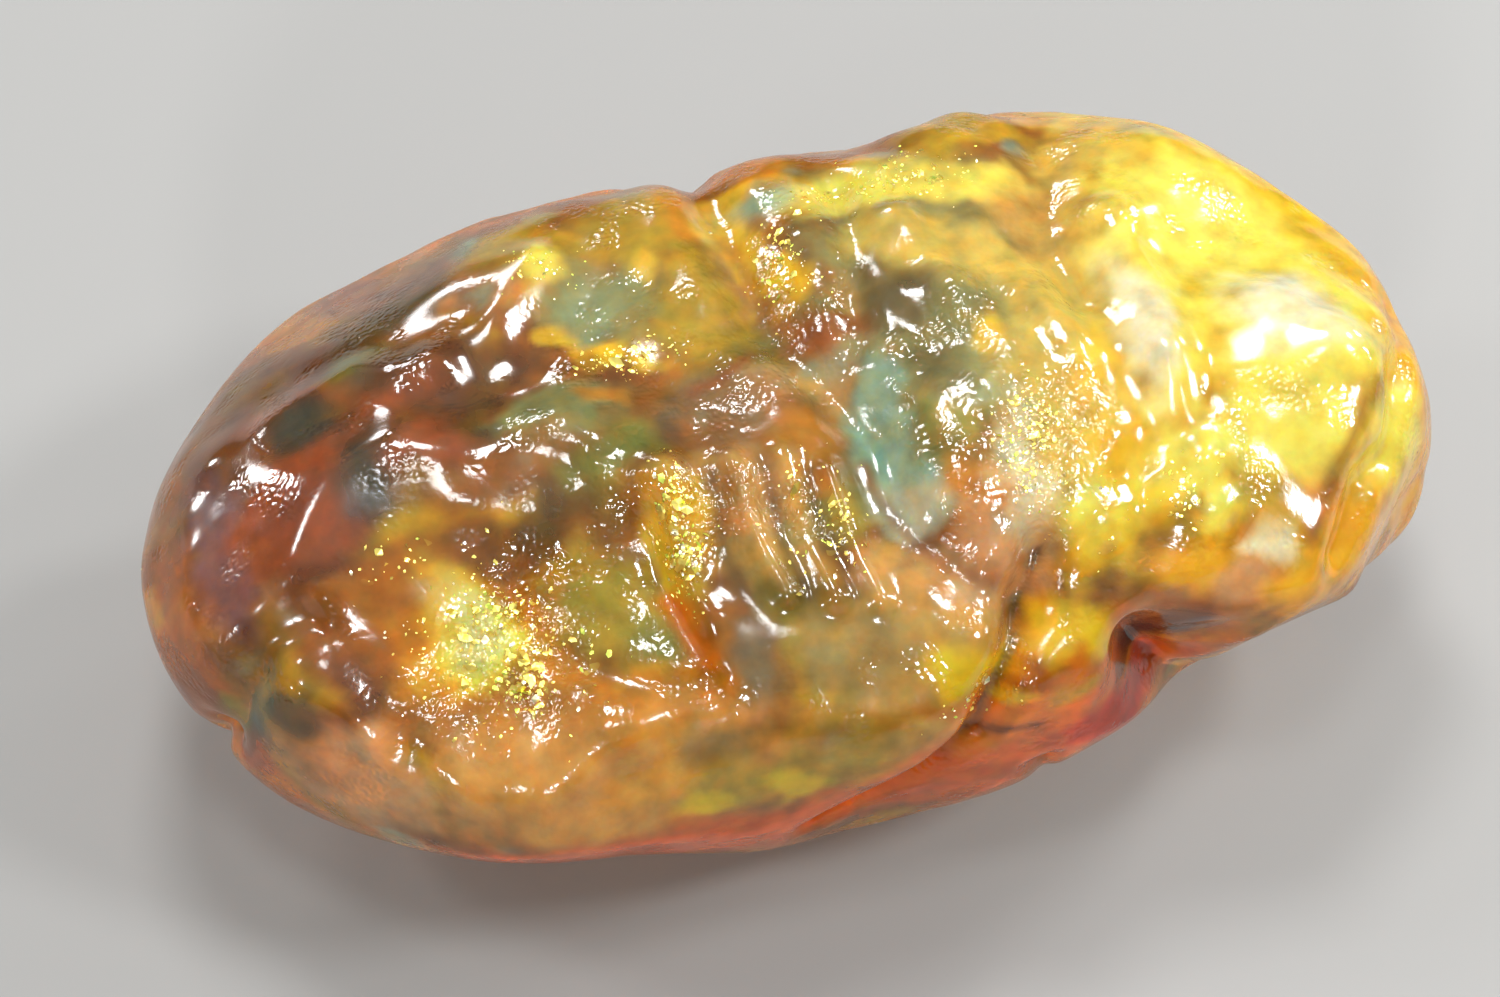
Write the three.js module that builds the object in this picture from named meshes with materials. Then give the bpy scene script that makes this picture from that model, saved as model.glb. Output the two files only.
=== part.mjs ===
// A lump of rough amber: one solid piece, about twice as long as it is wide, chipped and lobed,
// with a waist that runs over its back, two shelled-out hollows, a patch of short ribs, a ridge
// down its right lobe and a ledge under its front. It lies on one small flat chipped face.
// Units are millimetres, +X runs along the lump, +Z is up, and the origin is the middle of the
// box's underside, which is on the flat face.
//
// The surface is worked out point by point from a plain rounded body. Each feature is placed on
// that body and moves the surface out or in along the body's own outward direction. Then the
// chips are cut, the right lobe is pushed back and up, and the underside is made flat.

import * as THREE from "three";
import { mergeVertices } from "three/addons/utils/BufferGeometryUtils.js";

// Driving dimensions: the box of the finished lump.
const LENGTH = 36.0;
const WIDTH = 21.2;
const HEIGHT = 15.2;

// The plain body is |x/18|^2.5 + |y/9.8|^2.5 + |z/7.6|^2.5 = 1, which is a little boxier than an egg.
const HALF = new THREE.Vector3(18.0, 9.8, 7.6);
const POWER = 2.5;
const FLOOR = -6.7; // height of the flat underside, from the body's middle
const GRID = [44, 24, 18]; // steps along X, Y and Z of the box whose grid is carried onto the lump

const AMBER = { color: 0xc8741a, roughness: 0.16, metalness: 0.0 };

// Rounded swellings: middle, radii, height.
const LUMPS = [
  [[-13.0, -0.5, 5.4], [3.5, 3.8, 3.5], 0.25], // smooth window of the left lobe
  [[-3.5, -9.0, 2.6], [5.5, 3.0, 3.5], 0.35], // belly of the left lobe
  [[-9.0, -8.6, 0.0], [6.5, 3.0, 3.0], 1.15],
  [[-17.0, -2.0, 1.0], [2.5, 4.0, 4.0], 0.7],
  [[-6.0, 6.5, 6.0], [3.5, 3.0, 3.0], 0.3], // shoulder behind the left lobe
  [[-11.0, 6.5, 3.5], [5.5, 4.0, 4.0], 1.15],
  [[0.6, 6.6, 6.2], [2.0, 2.6, 2.6], 0.3], // three knobs along the back edge
  [[5.8, 7.0, 5.6], [2.4, 2.4, 2.6], 0.6],
  [[10.3, 5.0, 5.8], [2.8, 3.0, 2.6], 0.6],
  [[12.8, -2.4, 5.8], [2.8, 3.6, 3.6], 0.8], // dome of the right lobe
  [[5.6, -9.5, -2.2], [3.4, 2.4, 1.8], 0.95], // ledge under the front
  [[1.2, -9.3, 3.2], [3.2, 2.4, 2.0], 0.45], // lip over the ledge
  [[3.6, 3.2, 7.3], [3.0, 4.0, 3.0], 0.35],
  [[4.5, -2.0, 7.4], [2.4, 4.0, 3.0], 0.35],
  [[3.1, -4.3, 7.1], [1.5, 2.5, 2.5], 0.5], // slab beside the ribs
  [[0.5, 1.8, 7.5], [1.3, 2.4, 2.4], 0.3],
  [[-2.0, 9.5, -2.0], [6.0, 3.0, 3.5], 0.3], // swellings of the back and the right end
  [[9.0, 8.6, -1.5], [3.5, 3.0, 3.0], 0.2],
  [[-12.5, 7.0, -1.0], [3.5, 3.0, 3.0], 0.4],
  [[16.8, 2.5, -1.0], [2.5, 3.0, 3.0], 0.4],
];

// Furrows: points of the line, half-width, depth.
const FURROWS = [
  // the waist between the two lobes
  [[[-2.2, 9.6, 1.5], [-1.6, 8.4, 4.4], [-1.1, 5.2, 6.9], [-0.7, 1.3, 7.6], [0.3, -0.9, 7.6],
    [1.2, -3.0, 7.5], [1.4, -5.0, 7.0], [2.8, -7.2, 5.9], [4.3, -7.9, 5.2]], 0.85, 0.8],
  // the crack that runs down the front, over the ledge
  [[[4.8, -6.7, 6.1], [4.1, -8.1, 5.0], [3.2, -9.0, 3.8], [2.6, -9.6, 2.2], [1.6, -9.8, 1.0],
    [0.3, -9.8, -0.3], [-1.5, -9.7, -1.6]], 0.5, 0.95],
  // the fold between the ledge and the right lobe
  [[[7.1, -8.8, 3.4], [7.7, -9.2, 1.5], [8.8, -9.1, -0.8], [10.0, -8.4, -2.9]], 0.8, 1.15],
  // the notch in the ledge
  [[[4.7, -9.6, -0.8], [5.2, -9.4, -2.8], [5.0, -9.0, -4.4]], 0.5, 1.4],
  // the crease that sets off the small nub at the left end
  [[[-16.9, -5.0, 0.6], [-16.1, -5.1, 2.2], [-14.8, -4.5, 4.3], [-13.8, -4.3, 5.0]], 0.7, 0.85],
  [[[-17.0, -3.3, -2.8], [-17.3, -3.8, -1.0], [-17.0, -4.6, 0.6]], 0.6, 1.5],
  [[[-12.9, -5.0, 5.0], [-12.3, -6.4, 4.4], [-11.8, -7.6, 3.3]], 0.6, 0.35],
  // two sides of the small hollow
  [[[-4.9, -4.2, 7.1], [-4.7, -6.0, 6.5], [-4.1, -8.1, 5.0]], 0.42, 0.4],
  [[[-4.1, -8.3, 4.8], [-5.8, -8.1, 5.0], [-7.5, -7.3, 5.3], [-8.6, -6.0, 6.0]], 0.42, 0.3],
  // the step below the right lobe's dome
  [[[16.2, -0.5, 4.2], [14.8, -3.6, 4.7], [14.6, -5.1, 4.1], [13.4, -5.9, 4.3], [12.6, -7.3, 3.3]],
    0.6, 0.65],
  [[[2.1, 5.6, 6.7], [2.1, 3.8, 7.3], [1.3, -0.4, 7.6]], 0.5, 0.4],
  [[[8.0, 6.4, 5.9], [7.4, 3.0, 7.0], [7.6, 0.0, 7.2]], 0.7, 0.35],
  // the back and the right end
  [[[-8.0, 9.0, 2.0], [-6.5, 9.7, -1.0], [-7.0, 8.8, -4.0]], 0.8, 0.6],
  [[[4.5, 9.5, 2.5], [5.5, 9.6, -1.0], [4.0, 8.8, -4.2]], 0.9, 0.7],
  [[[15.0, 5.5, 3.0], [16.6, 4.0, -0.5], [16.0, 2.0, -4.0]], 0.7, 0.5],
];

// Ridges: points of the line, half-width, height.
const RIDGES = [
  // four short ribs side by side, the first one broad
  [[[-4.2, -3.3, 7.3], [-4.2, -5.0, 6.9], [-3.9, -6.8, 6.2]], 0.65, 0.6],
  [[[-2.5, -3.2, 7.4], [-2.3, -4.7, 7.1], [-1.8, -6.7, 6.3]], 0.45, 0.5],
  [[[-1.2, -3.2, 7.4], [-1.0, -4.9, 7.0], [-0.6, -7.0, 6.1]], 0.45, 0.45],
  [[[-0.1, -3.8, 7.3], [0.2, -6.2, 6.6], [0.5, -7.2, 6.0]], 0.4, 0.35],
  [[[-13.4, 1.6, 5.6], [-11.5, 2.2, 6.4], [-10.2, 1.2, 6.8], [-9.3, 1.4, 7.0]], 0.7, 0.35],
  [[[-9.1, 1.6, 7.0], [-7.9, 2.2, 7.1], [-7.1, 3.1, 7.1], [-6.3, 4.6, 6.9]], 0.8, 0.4],
  [[[-12.2, -7.0, 3.7], [-10.2, -8.4, 2.7], [-7.8, -8.6, 3.6], [-6.2, -8.6, 4.1]], 0.8, 0.35],
  [[[8.6, 2.0, 7.0], [9.1, -1.0, 7.0], [9.2, -3.1, 6.8], [9.4, -5.1, 6.2], [8.5, -7.5, 5.0]],
    1.1, 0.6],
  [[[3.4, 3.3, 7.3], [4.4, -0.6, 7.5], [5.3, -3.6, 7.1], [6.0, -6.6, 6.0]], 0.7, 0.35],
  [[[5.4, 2.6, 7.3], [6.5, -1.0, 7.3], [7.4, -4.4, 6.8]], 0.7, 0.3],
  [[[13.4, -7.3, -0.2], [12.2, -7.9, -1.9]], 0.8, 0.5],
  [[[-2.0, 9.0, 3.0], [2.0, 9.6, 1.0], [6.0, 9.2, 2.0]], 0.9, 0.4],
];

// Shelled-out hollows, as a struck flake leaves: middle, radius, depth.
const HOLLOWS = [
  [[-9.6, -6.2, 5.2], 3.5, 0.95], // the wide rough hollow
  [[-5.9, -5.9, 6.3], 2.9, 0.85], // the small smooth hollow
  [[-2.0, -5.4, 6.9], 3.3, 0.55],
  [[7.9, -9.1, 1.6], 2.3, 1.3], // the dark pocket between the lobes
  [[10.0, -8.6, 0.0], 3.2, 1.3],
  [[-4.4, 1.4, 7.5], 2.9, 0.45],
  [[-8.2, 0.4, 7.1], 2.3, 0.3],
  [[15.9, -4.9, 0.8], 3.4, 0.45],
  [[6.9, 1.2, 7.3], 2.2, 0.35],
  [[11.4, 1.2, 6.6], 2.3, 0.35],
  [[-14.6, 3.8, 3.8], 2.8, 0.45],
  [[-9.0, 8.4, 0.5], 4.0, 0.9],
  [[1.0, 9.6, -2.5], 3.6, 0.8],
  [[12.0, 7.6, 1.0], 3.6, 0.9],
  [[-16.8, 1.0, -1.5], 3.2, 0.6],
  [[17.0, -1.0, -1.5], 3.2, 0.6],
  [[-6.0, -9.6, -2.8], 3.5, 0.5],
  [[0.2, -9.6, -1.4], 3.0, 0.6],
];

// Nearly flat chips: outward direction, distance from the body's middle.
const CHIPS = [
  [[-0.8, 0.5, 0.3], 15.9],
  [[-0.66, -0.7, -0.05], 15.0],
  [[-0.95, 0.05, -0.3], 16.9],
  [[-0.86, -0.48, 0.1], 17.0],
  [[0.76, 0.58, 0.3], 14.8],
  [[0.3, 0.72, 0.62], 12.2],
  [[0.85, -0.1, -0.5], 15.8],
  [[0.98, 0.05, 0.15], 17.1],
  [[-0.35, 0.6, 0.72], 10.8],
  [[0.1, 0.72, -0.68], 8.9],
  [[-0.55, 0.62, -0.55], 12.0],
  [[0.35, -0.7, -0.62], 9.6],
  [[0.06, -0.95, -0.3], 9.35],
  [[0.0, -0.55, -0.84], 8.3],
  [[-0.75, -0.1, -0.66], 13.6],
  [[0.72, 0.1, -0.7], 13.6],
  [[0.0, 0.5, -0.87], 8.2],
  [[-0.3, -0.75, -0.6], 10.2],
];
const CHIP_EDGE = 0.6; // how far a chip's edge is rounded

// Scallops: small flake scars all over, each a shallow bowl round one of these scattered points.
const SCALLOPS = { count: 70, depth: 0.05, middle: 0.22, scatter: 0.55, seed: 1.0 };
const GOLDEN_ANGLE = 2.399963229728653;

function smooth(x, low, high) {
  const t = THREE.MathUtils.clamp((x - low) / (high - low), 0, 1);
  return t * t * (3 - 2 * t);
}

// The point of the plain body that lies in one direction from its middle.
function onBody(direction) {
  const sum = Math.abs(direction.x / HALF.x) ** POWER
    + Math.abs(direction.y / HALF.y) ** POWER
    + Math.abs(direction.z / HALF.z) ** POWER;
  return direction.clone().multiplyScalar(sum ** (-1 / POWER));
}

// The plain body's outward direction at one of its points.
function outward(p) {
  const slope = (v, half) => (Math.sign(v) * Math.abs(v / half) ** (POWER - 1)) / half;
  return new THREE.Vector3(slope(p.x, HALF.x), slope(p.y, HALF.y), slope(p.z, HALF.z)).normalize();
}

function distanceToLine(p, points) {
  const segment = new THREE.Line3();
  const nearest = new THREE.Vector3();
  let best = Infinity;
  for (let i = 0; i + 1 < points.length; i += 1) {
    segment.set(new THREE.Vector3(...points[i]), new THREE.Vector3(...points[i + 1]));
    segment.closestPointToPoint(p, true, nearest);
    best = Math.min(best, nearest.distanceTo(p));
  }
  return best;
}

// The scattered middles of the scallops: a spiral round the body, each point nudged a little.
function scallopMiddles() {
  const { count, scatter, seed } = SCALLOPS;
  return Array.from({ length: count }, (_, i) => {
    const nudge = ((2 * scatter) / count) * Math.sin(i * 78.233 + seed * 1.7);
    const along = THREE.MathUtils.clamp(1 - (2 * (i + 0.5)) / count + nudge, -1, 1);
    const around = i * GOLDEN_ANGLE + scatter * Math.sin(i * 12.9898 + seed);
    const ring = Math.sqrt(1 - along * along);
    return onBody(new THREE.Vector3(along, ring * Math.cos(around), ring * Math.sin(around)));
  });
}
const MIDDLES = scallopMiddles();

function scallopHeight(p) {
  let nearest = Infinity;
  for (const middle of MIDDLES) nearest = Math.min(nearest, middle.distanceToSquared(p));
  return SCALLOPS.depth * nearest - SCALLOPS.middle;
}

// Low waves that keep the broad faces from being too even. They die out on the two smooth swellings.
function unevenness(p) {
  const waves = Math.sin(1.9 * p.x + 0.7 * p.y + 1.1) * Math.sin(1.7 * p.y - 0.8 * p.z + 0.4)
    + Math.sin(1.3 * p.x - 1.5 * p.z + 2.3) * Math.sin(2.1 * p.y + 0.9 * p.x + 4.0)
    + 0.6 * Math.sin(3.1 * p.x + 1.2 * p.z) * Math.sin(2.9 * p.y - 1.1 * p.x + 1.0)
      * Math.cos(2.3 * p.z + 0.5 * p.y);
  const calm = fade(p, [-13.0, -1.0, 5.4], [4.0, 4.0, 4.0]) + fade(p, [-2.0, -9.2, 2.0], [6.0, 3.0, 3.5]);
  return 0.08 * waves * (1 - 0.7 * Math.min(calm, 1));
}

// A soft blot: 1 at its middle, falling to nothing a little past its radii.
function fade(p, middle, radii) {
  const x = (p.x - middle[0]) / radii[0];
  const y = (p.y - middle[1]) / radii[1];
  const z = (p.z - middle[2]) / radii[2];
  return Math.exp(-(x * x + y * y + z * z));
}

// How far the surface stands out from the plain body at one of the body's points.
function relief(p) {
  let height = scallopHeight(p) + unevenness(p);
  for (const [middle, radii, rise] of LUMPS) height += rise * fade(p, middle, radii);
  for (const [points, width, depth] of FURROWS) {
    height -= depth * Math.exp(-((distanceToLine(p, points) / width) ** 2));
  }
  for (const [points, width, rise] of RIDGES) {
    height += rise * Math.exp(-((distanceToLine(p, points) / width) ** 1.6));
  }
  for (const [middle, radius, depth] of HOLLOWS) {
    const q = p.distanceTo(new THREE.Vector3(...middle)) / radius;
    height -= depth * Math.max(0, 1 - q * q);
  }
  return height;
}

function cutChip(q, direction, distance) {
  const normal = new THREE.Vector3(...direction).normalize();
  const over = (q.dot(normal) - distance) / CHIP_EDGE;
  const taken = over > 30 ? over : Math.log1p(Math.exp(over));
  q.addScaledVector(normal, -CHIP_EDGE * taken);
}

// The right lobe is narrower at the front, and lies a little further back and higher.
function shiftRightLobe(q, p) {
  if (p.y < 0) q.y -= p.y * 0.08 * smooth(p.x, 4, 11);
  q.y += 0.1 * smooth(p.x, -4, 15);
  q.z += 0.6 * smooth(p.x, 2, 16);
}

function surfacePoint(direction) {
  const p = onBody(direction);
  const q = p.clone().addScaledVector(outward(p), relief(p));
  for (const [normal, distance] of CHIPS) cutChip(q, normal, distance);
  shiftRightLobe(q, p);
  q.z = Math.max(q.z, FLOOR);
  return q;
}

// The direction of a point on the cube from -1 to 1, each grid line at an equal angle before the
// cube is sized by the square roots of the body's half axes.
function cubeDirection(c) {
  const side = (v, half) => Math.tan((v * Math.PI) / 4) * Math.sqrt(half);
  return new THREE.Vector3(side(c.x, HALF.x), side(c.y, HALF.y), side(c.z, HALF.z)).normalize();
}

// A grid point of the lump: the mean of the surface there and a third of a grid step to each side,
// so that a furrow no wider than a few steps comes out even along its length.
const SIDES = [[0, 0, 0], [1, 0, 0], [-1, 0, 0], [0, 1, 0], [0, -1, 0], [0, 0, 1], [0, 0, -1]];
const STEP = new THREE.Vector3(2 / GRID[0], 2 / GRID[1], 2 / GRID[2]);
const REACH = 1 / 3; // how far to each side the mean reaches, in steps
function gridPoint(corner) {
  const mean = new THREE.Vector3();
  for (const side of SIDES) {
    const c = new THREE.Vector3(...side).multiply(STEP).multiplyScalar(REACH).add(corner);
    mean.addScaledVector(surfacePoint(cubeDirection(c)), 1 / SIDES.length);
  }
  return mean;
}

// A cube's surface grid carried onto the lump.
function lumpGeometry() {
  const cube = new THREE.BoxGeometry(2, 2, 2, ...GRID);
  cube.deleteAttribute("normal");
  cube.deleteAttribute("uv");
  const geometry = mergeVertices(cube, 1e-4);
  const position = geometry.attributes.position;
  for (let i = 0; i < position.count; i += 1) {
    const corner = new THREE.Vector3().fromBufferAttribute(position, i);
    position.setXYZ(i, ...gridPoint(corner));
  }
  return fitToBox(geometry);
}

// Sizes the lump to its driving box, and puts the middle of the box's underside at the origin.
function fitToBox(geometry) {
  geometry.computeBoundingBox();
  const { min, max } = geometry.boundingBox;
  geometry.translate(-(min.x + max.x) / 2, -(min.y + max.y) / 2, -min.z);
  geometry.scale(LENGTH / (max.x - min.x), WIDTH / (max.y - min.y), HEIGHT / (max.z - min.z));
  return geometry;
}

const amberLump = new THREE.Mesh(lumpGeometry(), new THREE.MeshStandardMaterial(AMBER));
amberLump.name = "amber_lump";

const part = new THREE.Group();
part.add(amberLump);

export default part;
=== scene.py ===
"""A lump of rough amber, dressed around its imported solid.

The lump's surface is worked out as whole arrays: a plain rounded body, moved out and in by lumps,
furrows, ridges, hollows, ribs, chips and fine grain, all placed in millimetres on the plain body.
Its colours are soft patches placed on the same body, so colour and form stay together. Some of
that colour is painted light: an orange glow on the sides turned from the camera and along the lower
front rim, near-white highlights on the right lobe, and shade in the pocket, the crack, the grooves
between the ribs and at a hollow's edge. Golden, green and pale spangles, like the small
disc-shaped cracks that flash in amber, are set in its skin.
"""

import math

import bpy
import numpy as np
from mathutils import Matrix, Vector


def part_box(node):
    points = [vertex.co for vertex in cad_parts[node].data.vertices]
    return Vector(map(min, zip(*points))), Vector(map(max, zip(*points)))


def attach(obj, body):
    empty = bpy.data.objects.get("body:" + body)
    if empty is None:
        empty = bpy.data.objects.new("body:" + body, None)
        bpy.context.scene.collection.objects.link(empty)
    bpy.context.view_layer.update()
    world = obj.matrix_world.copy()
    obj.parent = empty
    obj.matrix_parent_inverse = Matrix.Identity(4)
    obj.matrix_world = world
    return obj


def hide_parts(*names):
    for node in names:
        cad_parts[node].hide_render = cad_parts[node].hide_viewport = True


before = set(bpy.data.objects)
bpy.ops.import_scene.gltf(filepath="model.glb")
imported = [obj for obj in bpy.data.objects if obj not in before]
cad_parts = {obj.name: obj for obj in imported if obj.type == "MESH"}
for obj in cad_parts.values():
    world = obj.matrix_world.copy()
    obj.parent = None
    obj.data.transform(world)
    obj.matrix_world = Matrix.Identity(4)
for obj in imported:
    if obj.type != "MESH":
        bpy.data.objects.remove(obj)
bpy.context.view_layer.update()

NODE = "amber_lump"
LENGTH_MM = 36.0  # the lump's length, which sets how long a millimetre is in the frame
NODE_LOW, NODE_HIGH = (np.array(corner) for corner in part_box(NODE))
MM = float(NODE_HIGH[0] - NODE_LOW[0]) / LENGTH_MM

# ------------ the plain body and its features

HALF = np.array([18.0, 9.8, 7.6])  # the body is |x/18|^2.5 + |y/9.8|^2.5 + |z/7.6|^2.5 = 1
POWER = 2.5
FLOOR = -6.7  # height of the flat underside, from the body's middle
GRID = (196, 112, 88)  # steps along X, Y and Z of the box whose grid is carried onto the lump
MERGE = 1e6  # points of the box closer than 1 in this many of its half width are one point

# Rounded swellings: middle, radii, height.
LUMPS = [
    ((-13, -0.5, 5.4), (3.5, 3.8, 3.5), 0.25),  # smooth window of the left lobe
    ((-3.5, -9, 2.6), (5.5, 3, 3.5), 0.35),  # belly of the left lobe
    ((-9, -8.6, 0), (6.5, 3, 3), 1.15),
    ((-17, -2, 1), (2.5, 4, 4), 0.7),
    ((-6, 6.5, 6), (3.5, 3, 3), 0.3),  # shoulder behind the left lobe
    ((-11, 6.5, 3.5), (5.5, 4, 4), 1.15),
    ((0.6, 6.6, 6.2), (2, 2.6, 2.6), 0.3),  # three knobs along the back edge
    ((5.8, 7, 5.6), (2.4, 2.4, 2.6), 0.6),
    ((10.3, 5, 5.8), (2.8, 3, 2.6), 0.6),
    ((12.8, -2.4, 5.8), (2.8, 3.6, 3.6), 0.8),  # dome of the right lobe
    ((5.6, -9.5, -2.2), (3.4, 2.4, 1.8), 0.95),  # ledge under the front
    ((1.2, -9.3, 3.2), (3.2, 2.4, 2), 0.45),  # lip over the ledge
    ((3.6, 3.2, 7.3), (3, 4, 3), 0.35),
    ((4.5, -2, 7.4), (2.4, 4, 3), 0.35),
    ((3.1, -4.3, 7.1), (1.5, 2.5, 2.5), 0.5),  # slab beside the ribs
    ((0.5, 1.8, 7.5), (1.3, 2.4, 2.4), 0.3),
    ((-2, 9.5, -2), (6, 3, 3.5), 0.3),  # swellings of the back and the right end
    ((9, 8.6, -1.5), (3.5, 3, 3), 0.2),
    ((-12.5, 7, -1), (3.5, 3, 3), 0.4),
    ((16.8, 2.5, -1), (2.5, 3, 3), 0.4),
]

# Furrows: points of the line, half-width, depth.
FURROWS = [
    # the waist between the two lobes
    ([(-2.2, 9.6, 1.5), (-1.6, 8.4, 4.4), (-1.1, 5.2, 6.9), (-0.7, 1.3, 7.6), (0.3, -0.9, 7.6),
      (1.2, -3, 7.5), (1.4, -5, 7), (2.8, -7.2, 5.9), (4.3, -7.9, 5.2)], 0.85, 0.8),
    # the crack that runs down the front, over the ledge
    ([(4.8, -6.7, 6.1), (4.1, -8.1, 5), (3.2, -9, 3.8), (2.6, -9.6, 2.2), (1.6, -9.8, 1),
      (0.3, -9.8, -0.3), (-1.5, -9.7, -1.6)], 0.5, 0.95),
    # the fold between the ledge and the right lobe
    ([(7.1, -8.8, 3.4), (7.7, -9.2, 1.5), (8.8, -9.1, -0.8), (10, -8.4, -2.9)], 0.8, 1.15),
    # the notch in the ledge
    ([(4.7, -9.6, -0.8), (5.2, -9.4, -2.8), (5, -9, -4.4)], 0.5, 1.4),
    # the crease that sets off the small nub at the left end
    ([(-16.9, -5, 0.6), (-16.1, -5.1, 2.2), (-14.8, -4.5, 4.3), (-13.8, -4.3, 5)], 0.7, 0.85),
    ([(-17, -3.3, -2.8), (-17.3, -3.8, -1), (-17, -4.6, 0.6)], 0.6, 1.5),
    ([(-12.9, -5, 5), (-12.3, -6.4, 4.4), (-11.8, -7.6, 3.3)], 0.6, 0.35),
    # two sides of the small hollow
    ([(-4.9, -4.2, 7.1), (-4.7, -6, 6.5), (-4.1, -8.1, 5)], 0.42, 0.4),
    ([(-4.1, -8.3, 4.8), (-5.8, -8.1, 5), (-7.5, -7.3, 5.3), (-8.6, -6, 6)], 0.42, 0.3),
    # the step below the right lobe's dome
    ([(16.2, -0.5, 4.2), (14.8, -3.6, 4.7), (14.6, -5.1, 4.1), (13.4, -5.9, 4.3), (12.6, -7.3, 3.3)],
     0.6, 0.65),
    ([(2.1, 5.6, 6.7), (2.1, 3.8, 7.3), (1.3, -0.4, 7.6)], 0.5, 0.4),
    ([(8, 6.4, 5.9), (7.4, 3, 7), (7.6, 0, 7.2)], 0.7, 0.35),
    # the back and the right end
    ([(-8, 9, 2), (-6.5, 9.7, -1), (-7, 8.8, -4)], 0.8, 0.6),
    ([(4.5, 9.5, 2.5), (5.5, 9.6, -1), (4, 8.8, -4.2)], 0.9, 0.7),
    ([(15, 5.5, 3), (16.6, 4, -0.5), (16, 2, -4)], 0.7, 0.5),
]

# Ridges: points of the line, half-width, height.
RIDGES = [
    # four short ribs side by side, the first one broad
    ([(-4.2, -3.3, 7.3), (-4.2, -5, 6.9), (-3.9, -6.8, 6.2)], 0.65, 0.6),
    ([(-2.5, -3.2, 7.4), (-2.3, -4.7, 7.1), (-1.8, -6.7, 6.3)], 0.45, 0.5),
    ([(-1.2, -3.2, 7.4), (-1, -4.9, 7), (-0.6, -7, 6.1)], 0.45, 0.45),
    ([(-0.1, -3.8, 7.3), (0.2, -6.2, 6.6), (0.5, -7.2, 6)], 0.4, 0.35),
    ([(-13.4, 1.6, 5.6), (-11.5, 2.2, 6.4), (-10.2, 1.2, 6.8), (-9.3, 1.4, 7)], 0.7, 0.35),
    ([(-9.1, 1.6, 7), (-7.9, 2.2, 7.1), (-7.1, 3.1, 7.1), (-6.3, 4.6, 6.9)], 0.8, 0.4),
    ([(-12.2, -7, 3.7), (-10.2, -8.4, 2.7), (-7.8, -8.6, 3.6), (-6.2, -8.6, 4.1)], 0.8, 0.35),
    ([(8.6, 2, 7), (9.1, -1, 7), (9.2, -3.1, 6.8), (9.4, -5.1, 6.2), (8.5, -7.5, 5)], 1.1, 0.6),
    ([(3.4, 3.3, 7.3), (4.4, -0.6, 7.5), (5.3, -3.6, 7.1), (6, -6.6, 6)], 0.7, 0.35),
    ([(5.4, 2.6, 7.3), (6.5, -1, 7.3), (7.4, -4.4, 6.8)], 0.7, 0.3),
    ([(13.4, -7.3, -0.2), (12.2, -7.9, -1.9)], 0.8, 0.5),
    ([(-2, 9, 3), (2, 9.6, 1), (6, 9.2, 2)], 0.9, 0.4),
]

# Small smooth knobs, on which lamps show as round spots: middle, radius, height.
KNOBS = [
    # the top of the left lobe
    ((-8.3, 4.9, 6.5), 1.7, 0.2),
    ((-6.8, 4.1, 6.9), 1.8, 0.22),
    ((-7.7, 2.3, 7.1), 1, 0.07),
    ((-7.5, 1.3, 7.2), 1.1, 0.08),
    ((-8.9, 0.7, 7.1), 0.8, 0.07),
    ((-12.2, 1.3, 6.3), 0.8, 0.07),
    ((-9.4, -3.2, 6.7), 1, 0.08),
    ((-7.3, -3.1, 7.1), 1.2, 0.1),
    # the left end
    ((-14.2, 4, 4.9), 0.8, 0.07),
    ((-15.3, 1.8, 4.8), 1.2, 0.1),
    ((-16.2, 0.1, 4.2), 1, 0.08),
    ((-16.3, -1.1, 4.1), 1.1, 0.08),
    ((-14.5, -3.9, 4.8), 1.1, 0.08),
    ((-14.6, -6.4, 2.6), 1.1, 0.09),
    ((-11.5, -5.2, 5.6), 1.1, 0.08),
    ((-10.6, -4.3, 6.2), 1.2, 0.1),
    # along the ribs
    ((-3.3, -7.1, 5.9), 1.1, 0.08),
    ((-2.5, -6, 6.5), 1.1, 0.08),
    ((-2, -7.1, 5.9), 2, 0.22),
    ((-0.2, -6.7, 6.2), 1.1, 0.09),
    ((-0.6, -2.9, 7.5), 1.1, 0.09),
    ((0.8, -4.1, 7.2), 1.2, 0.1),
    # the top of the right lobe
    ((0.5, 2.1, 7.5), 0.8, 0.07),
    ((2.7, 0.8, 7.6), 1.1, 0.08),
    ((3.1, 2.6, 7.5), 1, 0.08),
    ((5.2, 2.5, 7.4), 1.1, 0.08),
    ((3.8, -2.3, 7.4), 1.2, 0.1),
    ((5.9, -1.3, 7.4), 1.2, 0.1),
    ((6.7, -5.3, 6.6), 1, 0.08),
    ((8.8, 0.2, 7.1), 1.6, 0.18),
    ((8.8, -1.7, 7), 1.8, 0.2),
    ((8.8, -3.5, 6.8), 1.7, 0.18),
    ((8.5, -5, 6.4), 1.3, 0.14),
    ((13, 4.1, 5.4), 1.1, 0.09),
    # the dome and the nodules in front of it
    ((11.7, -1.2, 6.4), 2, 0.36),
    ((13.1, -2.8, 5.7), 1.3, 0.32),
    ((9.3, -5.6, 6), 1, 0.26),
    ((8.3, -6.3, 5.9), 0.8, 0.24),
    ((9.7, -6.6, 5.4), 0.8, 0.2),
    ((6.8, -6.4, 6.1), 1.1, 0.26),
    ((10.5, -8, 3.4), 0.9, 0.14),
]

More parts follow.
